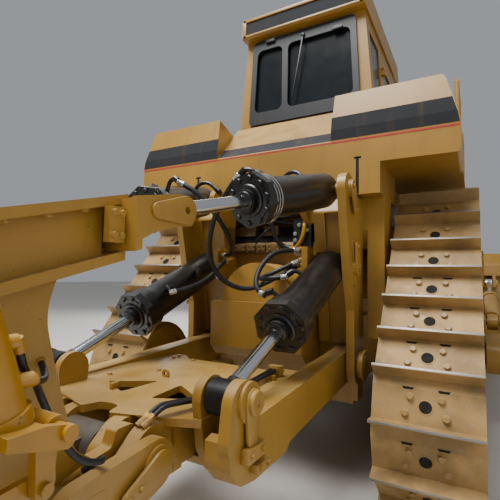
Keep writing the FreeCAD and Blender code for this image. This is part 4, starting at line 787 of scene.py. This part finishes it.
def teardrop(name, centre, tip, radius, small, x, side, thick):
    """A plate like a drop: round about one (Y, Z) point and narrow at another, on an upright face at X."""
    line = Vector(tip) - Vector(centre)
    lean = math.atan2(line.y, line.x)
    half = math.acos((radius - small) / line.length)
    corners = []
    for middle, r, first, last in ((centre, radius, lean + half, lean + 2 * math.pi - half),
                                   (tip, small, lean - half, lean + half)):
        for k in range(17):
            angle = first + (last - first) * k / 16
            corners.append(at(x, middle[0] + r * math.cos(angle), middle[1] + r * math.sin(angle)))
    if side < 0:
        corners.reverse()
    piece = plate(name, corners, thick)
    soften(piece, 2.5)
    return piece


def dress_towers(side, word):
    """Pin retainers on the tower's outer face, the ring of the lower pivot, and the hose block's bolts and
    plated ports."""
    x = side * TOWER_FACE
    plates = []
    spots = []
    for centre, tip in ((LIFT_BASE[1:], (2155.0, 1845.0)), (TILT_BASE[1:], (2175.0, 2110.0))):
        plates.append(teardrop("retainer", centre, tip, 58, 34, x, side, 14))
        spots.append((at(x + side * 14, *tip), outward(side)))
        spots.append((at(x + side * 14, centre[0] + 18, centre[1] + 12), outward(side)))
    ring = spun("ring", [(112, 0), (112, 12), (106, 18), (84, 18), (80, 14), (76, 14), (72, 22), (20, 24)], 48)
    plates.append(stand(ring, at(side * 792, *LOW_PIVOT), outward(side)))
    belongs(joined("retainers", plates), "tower_retainers_" + word, "tractor", "yellow_paint")
    for y, z in ((2100, 1835), (2200, 1835), (2100, 1710), (2200, 1710)):
        spots.append((at(side * 385, y, z), outward(-side)))
    bolts = copies(hex_bolt(17), spots)
    belongs(bolts, "tower_bolts_" + word, "tractor", "yellow_paint")
    ports = []
    for y in (2112, 2188):
        nut = spun("nut", [(15, 0), (15, 28), (24, 28), (24, 58), (16, 60), (16, 92)], 6)
        ports.append(stand(nut, at(side * PORT_X, y, 1604), UP))
        cap = spun("cap", [(13, 0), (20, 3), (20, 20), (12, 26)], 24)
        ports.append(stand(cap, at(side * PORT_X, y, 1586), UP))
    belongs(joined("ports", ports), "manifold_ports_" + word, "tractor", "plating")


def dress_lift_frame(side, word):
    """The flagged pin heads of the lift cylinders' eyes, with their bolted bars, and bolts on the deck."""
    frame_body = "ripper_lift_frame"
    y, z = LIFT_EYE[1:]
    parts = []
    head = spun("head", [(54, 0), (54, 26), (48, 32), (17, 32), (14, 24), (6, 22)], 40)
    parts.append(stand(head, at(side * 706, y - 8, z), outward(side)))
    parts.append(teardrop("flag", (y - 8, z), (y - 4, z - 150), 60, 40, side * ARM_FACE, side, 18))
    x0, x1 = sorted((side * (ARM_FACE - 10), side * BAR_FACE))
    parts.append(block("bar", (x0, y - 92, z - 235), (x1, y + 60, z - 175)))
    parts.append(block("low_bar", (x0, y - 140, z - 300), (x1, y - 20, z - 262)))
    flagged = joined("flagged_pin", parts)
    soften(flagged, 3)
    belongs(flagged, "lift_pin_flag_" + word, frame_body, "yellow_paint")
    spots = [(at(side * BAR_FACE, y + dy, z + dz), outward(side))
             for dy, dz in ((-62, -205), (30, -205), (-112, -281), (-48, -281))]
    for px, py in ((430, 2640), (430, 2700), (250, 2700), (250, 3060), (430, 3300)):
        spots.append((at(side * px, py, DECK_TOP), UP))
    belongs(copies(hex_bolt(17), spots), "lift_frame_bolts_" + word, frame_body, "yellow_paint")


def dress_deck():
    """The small ring, the stop tab and the brass unions of the clamped hoses on the ripper frame's deck."""
    ring = turned("ring", [(26, 0), (28, 2), (28, 12), (26, 14)], 28)
    bored(ring, Vector((0, 0, 0.014)), UP, 12, 30)
    soften(ring, 0)
    stand(ring, at(110, 3148, 1018), REAR)
    tab = block("tab", (164, 3468, 997), (186, 3520, 1032))
    soften(tab, 3)
    belongs(joined("deck_stops", [ring, tab]), "deck_stops", "ripper_lift_frame", "yellow_paint")
    unions = []
    for x in (-305, -333):
        nut = spun("nut", [(18, 0), (18, 24), (14, 27), (14, 40), (20, 42), (20, 56)], 6)
        unions.append(stand(nut, at(x, 3739, 1020), Vector((0.16, 0.75, -0.62))))
    belongs(joined("unions", unions), "frame_hose_unions", "ripper_lift_frame", "brass")


def dress_carriage(side, word):
    """The leaf-shaped retainer at the carriage's pin, the ear at the tilt cylinder's pin with its bored hole,
    the bolted block on the top beam, and the bolts of all of them and of the beam's sloping flange."""
    body = "ripper_carriage"
    y, z = CARRIAGE_PIVOT
    leaf = teardrop("leaf", (y, z), (y + 175, z - 55), 62, 30, side * CHEEK_FACE, side, 16)
    spots = [(at(side * 449, y + 175, z - 55), outward(side)), (at(side * 449, y + 118, z - 36), outward(side)),
             (at(side * 420, y + 300, z - 20), outward(side)), (at(side * 420, y + 300, z - 110), outward(side))]
    x0, x1 = sorted((side * 350, side * BEAM_FACE))
    blocks = [leaf, block("beam_block", (x0, 3985, 1735), (x1, 4055, 1870))]
    for by, bz in ((4002, 1845), (4038, 1845), (4002, 1762), (4038, 1762)):
        spots.append((at(side * BEAM_FACE, by, bz), outward(side)))
    ear = teardrop("ear", TILT_PIN, (3868, 1874), 64, 34, side * 436, side, 14)
    bored(ear, at(side * 450, *TILT_PIN), outward(side), 17, 30)
    blocks.append(ear)
    made = joined("retainers", blocks)
    belongs(made, "carriage_retainers_" + word, body, "yellow_paint")
    for k in range(7):
        by = 4120 + 140 * k
        top = BEAM_START[1] - (by - BEAM_START[0]) * math.tan(BEAM_FALL)
        spots.append((at(side * 325, by, top - 37), Vector((0, -math.sin(BEAM_FALL), -math.cos(BEAM_FALL)))))
    belongs(copies(hex_bolt(16), spots), "carriage_bolts_" + word, body, "yellow_paint")


def lean_back(z):
    """The Y of the tank's rear face at a height: upright under the upper band, and leaning forward from there."""
    return TANK_REAR if z < WING_BANDS[0][1] else TANK_REAR + 10 - (z - WING_LEANS) * 70 / 370


def dress_tank():
    """The dark band across the tank's wings, the greyer band on its middle with painted shadow from the wings in
    it, the red line under both, the filler cap, and dark blocks of painted shade for the lifting slots."""
    bands = []
    lines = []
    for side in (-1, 1):
        for low, high, store in ((*WING_BANDS[0], bands), (*WING_BANDS[1], bands), (*RED_LINE, lines)):
            corners = []
            for z, y in ((low, lean_back(low - 1) + BAND_GAP), (high, lean_back(high) + BAND_GAP)):
                edge = WING_OUTER - max(0, z - WING_LEANS) * 0.278
                corners += [at(side * WING_INNER, y, z), at(side * edge, y, z)]
            corners[2:] = corners[:1:-1]
            if side > 0:
                corners.reverse()
            store.append(plate("band", corners, BAND_THICK))
    belongs(joined("bands", bands), "tank_dark_bands", "tractor", "band_black")
    slope = (SLOPE_TOP[1] - SLOPE_FOOT[1]) / (SLOPE_TOP[0] - SLOPE_FOOT[0])

    def on_slope(x, y):
        """A point just over the tank's sloping middle sheet."""
        return at(x, y, SLOPE_FOOT[1] + (y - SLOPE_FOOT[0]) * slope + BAND_GAP)

    # The middle band's enamel holds painted shadow from the wings as well as its own grey.
    corners = [on_slope(-543, 2004), on_slope(-588, 1850), on_slope(588, 1850), on_slope(543, 2004)]
    middle = plate("tank_middle_band", corners, BAND_THICK)
    belongs(middle, "tank_middle_band", "tractor", "middle_band_and_painted_shadow")
    corners = [at(x, TANK_REAR + BAND_GAP, z) for x in (WING_INNER, -WING_INNER) for z in RED_LINE]
    corners[2:] = corners[:1:-1]
    lines.append(plate("line", corners, BAND_THICK))
    belongs(joined("lines", lines), "tank_red_line", "tractor", "red_line")
    # Dark blocks of painted shade, set into the wings' rear face where the lifting slots open.
    slots = []
    for side in (-1, 1):
        for low, high in (((748, 2018.5, 2264), (772, 2020.8, 2552)), ((732, 2018.5, 2540), (790, 2020.8, 2556))):
            x0, x1 = sorted((side * low[0], side * high[0]))
            slots.append(block("slot", (x0, *low[1:]), (x1, *high[1:])))
    dark = joined("slots", slots)
    soften(dark, 0.4)
    belongs(dark, "tank_wing_slot_shades", "tractor", "shadow")
    cap = spun("cap", [(95, 0), (95, 20), (78, 26), (78, 55), (70, 64), (20, 66)], 40)
    stand(cap, at(1050, 1690, 3100), UP)
    belongs(cap, "fuel_filler_cap", "tractor", "yellow_paint")


def dress_rear_window():
    """The wiper of the wide pane, the panes' hinge blocks, and the visor's dark panel in its yellow rim."""
    parts = []
    pivot = turned("pivot", [(22, 0), (22, 14), (16, 22), (6, 24)], 24)
    parts.append(stand(pivot, at(-22, 1327, 4128), REAR))
    arm = [at(-29, 1345, 4125), at(-15, 1345, 4125), at(52, 1346, 3700), at(42, 1346, 3700)]
    blade = [at(-14, 1352, 4010), at(-2, 1352, 4010), at(94, 1352, 3480), at(82, 1352, 3480)]
    parts += [plate("arm", arm, -6), plate("blade", blade, -16)]
    for x0, x1, z0, z1 in ((300, 405, 4148, 4180), (-440, -340, 4080, 4108)):
        parts.append(block("hinge", (x0, WINDOW_FACE, z0), (x1, 1352, z1)))
    wiper = joined("wiper", parts)
    soften(wiper, 0.8)
    belongs(wiper, "rear_wiper", "tractor", "black_frame")
    corners = [at(-PANEL_HALF, 1401, PANEL_LOW), at(-PANEL_HALF, 1401, PANEL_HIGH),
               at(PANEL_HALF, 1401, PANEL_HIGH), at(PANEL_HALF, 1401, PANEL_LOW)]
    panel = plate("visor", corners, -2)
    belongs(panel, "visor_dark_panel", "tractor", "band_black")
    rim = []
    for x0, x1, z0, z1 in ((-RIM_HALF, RIM_HALF, PANEL_HIGH, RIM_HIGH), (-RIM_HALF, RIM_HALF, RIM_LOW, PANEL_LOW),
                           (-RIM_HALF, -PANEL_HALF, RIM_LOW, RIM_HIGH), (PANEL_HALF, RIM_HALF, RIM_LOW, RIM_HIGH)):
        rim.append(block("rim", (x0, 1400, z0), (x1, 1412, z1)))
    frame_piece = joined("rim", rim)
    soften(frame_piece, 3)
    belongs(frame_piece, "visor_rim", "tractor", "yellow_paint")


def on_case(x, share):
    """A point on the case's sloping top, that share of the way up from the rear wall."""
    return at(x, 1860 - 160 * share, 1900 + 200 * share)


def dress_case():
    """The painted-shade hollow above the round cover: the valve block with its caps and studs, brackets and pipes.
    """
    # A dark plate of painted shade on the case's sloping top, for the dim inside of the hollow.
    hollow = plate("hollow", [on_case(470, 0.12), on_case(-470, 0.12), on_case(-470, 0.88), on_case(470, 0.88)], 2)
    belongs(hollow, "case_hollow_shade", "tractor", "shadow")
    casting = [block("valve", (-95, 1857, 1824), (385, 1948, 1908))]
    spots = []
    for x0, x1 in ((-78, 30), (58, 130), (158, 232), (262, 368)):
        casting.append(block("cover", (x0, 1946, 1832 if x0 < 0 else 1838), (x1, 1968, 1904 if x0 < 0 else 1898)))
        for x in (x0 + 14, x1 - 14):
            spots += [(at(x, 1968, 1850), REAR), (at(x, 1968, 1886), REAR)]
        spots.append((at((x0 + x1) / 2, 1905, 1908), UP))
    casting.append(block("bracket", (228, 1755, 1985), (430, 1832, 2092)))
    casting.append(block("bracket", (0, 1755, 1985), (148, 1828, 2078)))
    block_piece = joined("valve_block", casting)
    soften(block_piece, 6)
    belongs(block_piece, "valve_block", "tractor", "dark_brown")
    belongs(copies(hex_bolt(11), spots), "valve_bolts", "tractor", "dark_brown")
    ends = []
    for x, way in ((-95, -1), (385, 1)):
        nut = spun("nut", [(30, 0), (30, 22), (22, 24), (22, 34), (27, 36), (27, 58), (22, 60)], 6)
        ends.append(stand(nut, at(x, 1904, 1866), outward(way)))
    for x, z in ((-205, 1930), (-205, 1985), (-240, 2060), (-312, 2010)):
        nut = spun("nut", [(17, 0), (17, 16), (13, 17), (13, 30)], 6)
        ends.append(stand(nut, at(x, 1904, z), REAR))
    belongs(joined("fittings", ends), "valve_fittings", "tractor", "plating")
    left_bend = ((-140, 1904, 1866), (-185, 1908, 1850), (-238, 1926, 1882), (-284, 1938, 1950),
                 (-296, 1938, 2015), (-290, 1920, 2072), (-284, 1880, 2090))
    right_bend = ((430, 1904, 1866), (462, 1908, 1850), (452, 1930, 1780), (436, 1948, 1716), (438, 1944, 1650),
                  (446, 1915, 1610))
    pipes = [pipe("pipe", left_bend, 19), pipe("pipe", right_bend, 17)]
    belongs(joined("pipes", pipes), "valve_pipes", "tractor", "fresh")
    dark = [block("control", (-345, 1842, 1872), (-182, 1904, 2108))]
    for route, radius in ((((486, 1822, 2066), (300, 1850, 2120), (60, 1846, 2128), (-160, 1842, 2080),
                            (-486, 1830, 2050)), 15),
                          (((486, 1800, 2165), (180, 1812, 2112), (-120, 1815, 2168), (-486, 1800, 2150)), 12),
                          (((40, 1828, 2030), (70, 1890, 2040), (120, 1900, 1990), (180, 1890, 1950),
                            (200, 1880, 1906)), 11)):
        dark.append(pipe("line", route, radius))
    lines = joined("lines", dark)
    soften(lines, 3)
    belongs(lines, "control_lines", "tractor", "black_frame")


def dress_front():
    """Edge bolts on the blade, the stacks' rims, lamp glasses, door grips and the hood's louvred side doors."""
    spots = [(at(-1400 + 200 * k, *EDGE_BOLTS), EDGE_FACING) for k in range(15)]
    for side in (-1, 1):
        turn = Matrix.Rotation(-side * WING_TURN, 3, "Z")
        for k in range(5):
            reach = turn @ Vector((side * (140 + 165 * k), -355, 0))
            place = at(side * WING_CORNER[0] + reach.x, WING_CORNER[1] + reach.y, EDGE_BOLTS[1])
            spots.append((place, turn @ EDGE_FACING))
    belongs(copies(hex_bolt(24), spots), "cutting_edge_bolts", "blade", "bare_steel")
    rims = []
    for side in (-1, 1):
        rim = turned("rim", [(87, 0), (91, 4), (91, 18), (84, 24)], 40)
        bored(rim, Vector((0, 0, 0.024)), UP, 76, 60)
        soften(rim, 0)
        rims.append(stand(rim, at(side * STACK_TOP[0], *STACK_TOP[1:]), UP))
        band = spun("band", [(151, 0), (156, 5), (156, 30), (151, 35)], 48)
        rims.append(stand(band, at(side * CLEANER_TOP[0], *CLEANER_TOP[1:]), UP))
    belongs(joined("rims", rims), "stack_rims", "tractor", "black_paint")
    glasses = []
    for side in (-1, 1):
        for k in range(7):
            x = side * 520 - 66 + 22 * k
            glasses.append(block("rib", (x - 10, -566, 4340), (x + 10, -558, 4430)))
    lens = joined("glasses", glasses)
    soften(lens, 3)
    belongs(lens, "lamp_glasses", "tractor", "lens")
    for side, word in reversed(SIDES):
        bow = [(side * x, -95, z) for x, z in ((742, 2880), (800, 2880), (800, 3060), (728, 3060))]
        grip = pipe("grip", bow, 11)
        belongs(grip, "door_grip_" + word, "cab_door_" + word, "black_frame")
        doors = []
        for y0, y1 in ((-2290, -1700), (-1685, -1085), (-1070, -470)):
            x0, x1 = sorted((side * HOOD_SIDE, side * (HOOD_SIDE + 7)))
            doors.append(block("door", (x0, y0, DOOR_LOW), (x1, y1, DOOR_HIGH)))
            for k in range(8):
                z = DOOR_LOW + 100 + 88 * k
                x0, x1 = sorted((side * (HOOD_SIDE + 5), side * (HOOD_SIDE + 19)))
                doors.append(block("louvre", (x0, y0 + 70, z), (x1, y1 - 70, z + 26)))
        louvred = joined("doors", doors)
        soften(louvred, 3)
        belongs(louvred, "hood_side_doors_" + word, "tractor", "yellow_paint")


def rounded_pad(name, low, high, crown, axis):
    """A stuffed pad between two corners: its sides pull in between the corners and its face is crowned."""
    pad = block(name, low, high)
    edit(pad)
    bpy.ops.mesh.subdivide(number_cuts=5)
    leave_edit()
    pick(pad)
    centre = (at(*low) + at(*high)) / 2
    half = (at(*high) - at(*low)) / 2
    for vertex in pad.data.vertices:
        share = [(vertex.co[i] - centre[i]) / half[i] for i in range(3)]
        flat = [share[i] for i in range(3) if i != axis]
        rise = (1 - flat[0] ** 2) * (1 - flat[1] ** 2)
        if share[axis] > 0.9:
            vertex.co[axis] += crown / 1000 * (rise - 1)
        for i in range(3):
            if i != axis and abs(share[i]) > 0.9:
                other = [share[j] for j in range(3) if j not in (i, axis)][0]
                vertex.co[i] -= math.copysign(0.012 * (1 - other ** 2) * (1 - share[axis] ** 2) + 0.004, share[i])
    rounding = pad.modifiers.new("rounding", "SUBSURF")
    rounding.levels = 2
    bpy.ops.object.modifier_apply(modifier=rounding.name)
    bpy.ops.object.shade_smooth_by_angle(angle=math.radians(60))
    return pad


def operator_seat():
    """The suspension seat: a steel pedestal, a crowned cushion, a back pad that leans back, and armrests."""
    post = block("pedestal", (-175, 355, 2376), (175, 795, 2700))
    soften(post, 12)
    belongs(post, "seat_pedestal", "tractor", "dark_plastic")
    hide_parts("operator_seat")
    for name, low, high, crown, axis in (("seat_cushion", (-262, 305, 2702), (262, 845, 2848), 34, 2),
                                         ("armrest_left", (275, 310, 2945), (355, 790, 3028), 12, 2),
                                         ("armrest_right", (-355, 310, 2945), (-275, 790, 3028), 12, 2)):
        pad = rounded_pad(name, low, high, crown, axis)
        belongs(pad, name, "tractor", "seat_vinyl")
    back = rounded_pad("seat_back", (-245, 800, 2860), (245, 890, 3470), 26, 1)
    hinge = at(0, *SEAT_HINGE)
    leaning = Matrix.Rotation(-0.14, 4, "X")
    back.data.transform(Matrix.Translation(hinge) @ leaning @ Matrix.Translation(-hinge))
    belongs(back, "seat_back", "tractor", "seat_vinyl")
    brackets = [block("bracket", (s * 265 - 14, 700, 2845), (s * 265 + 14, 820, 2960)) for s in (-1, 1)]
    arms = joined("brackets", brackets)
    soften(arms, 4)
    belongs(arms, "armrest_brackets", "tractor", "dark_plastic")


def coat(node, finish):
    """Gives a solid of the frame its finish."""
    for slot in frame["nodes"][node].material_slots:
        slot.material = finish


def paint_nodes():
    """Gives every solid of the frame its finish, by what the real piece is made of."""
    for row in frame["record"]["subparts"]:
        coat(row["node"], FINISHES[row["material_slot"]])
    coat("pin_puller", FINISHES["fresh"])
    coat("rear_window_frame", FINISHES["black_frame"])
    for side, word in SIDES:
        for kind, base, eye, reach in (("lift", LIFT_BASE, LIFT_EYE, 0.1), ("tilt", TILT_BASE, TILT_EYE, 0.085)):
            start, end = at(side * base[0], *base[1:]), at(side * eye[0], *eye[1:])
            coat(f"ripper_{kind}_rod_{word}", rod_with_black_eye(f"{kind}_rod_{word}_finish", end, start, reach))


place_camera()
mix_finishes()
paint_nodes()
ripper_hoses()
for side, word in SIDES:
    dress_track(side, word)
    dress_cylinder("lift", side, word, LIFT_BASE, LIFT_EYE, 0.61)
    dress_cylinder("tilt", side, word, TILT_BASE, TILT_EYE, 0.575)
    dress_towers(side, word)
    dress_lift_frame(side, word)
    dress_carriage(side, word)
dress_tank()
dress_rear_window()
dress_case()
dress_deck()
dress_front()
operator_seat()
floor_and_light()
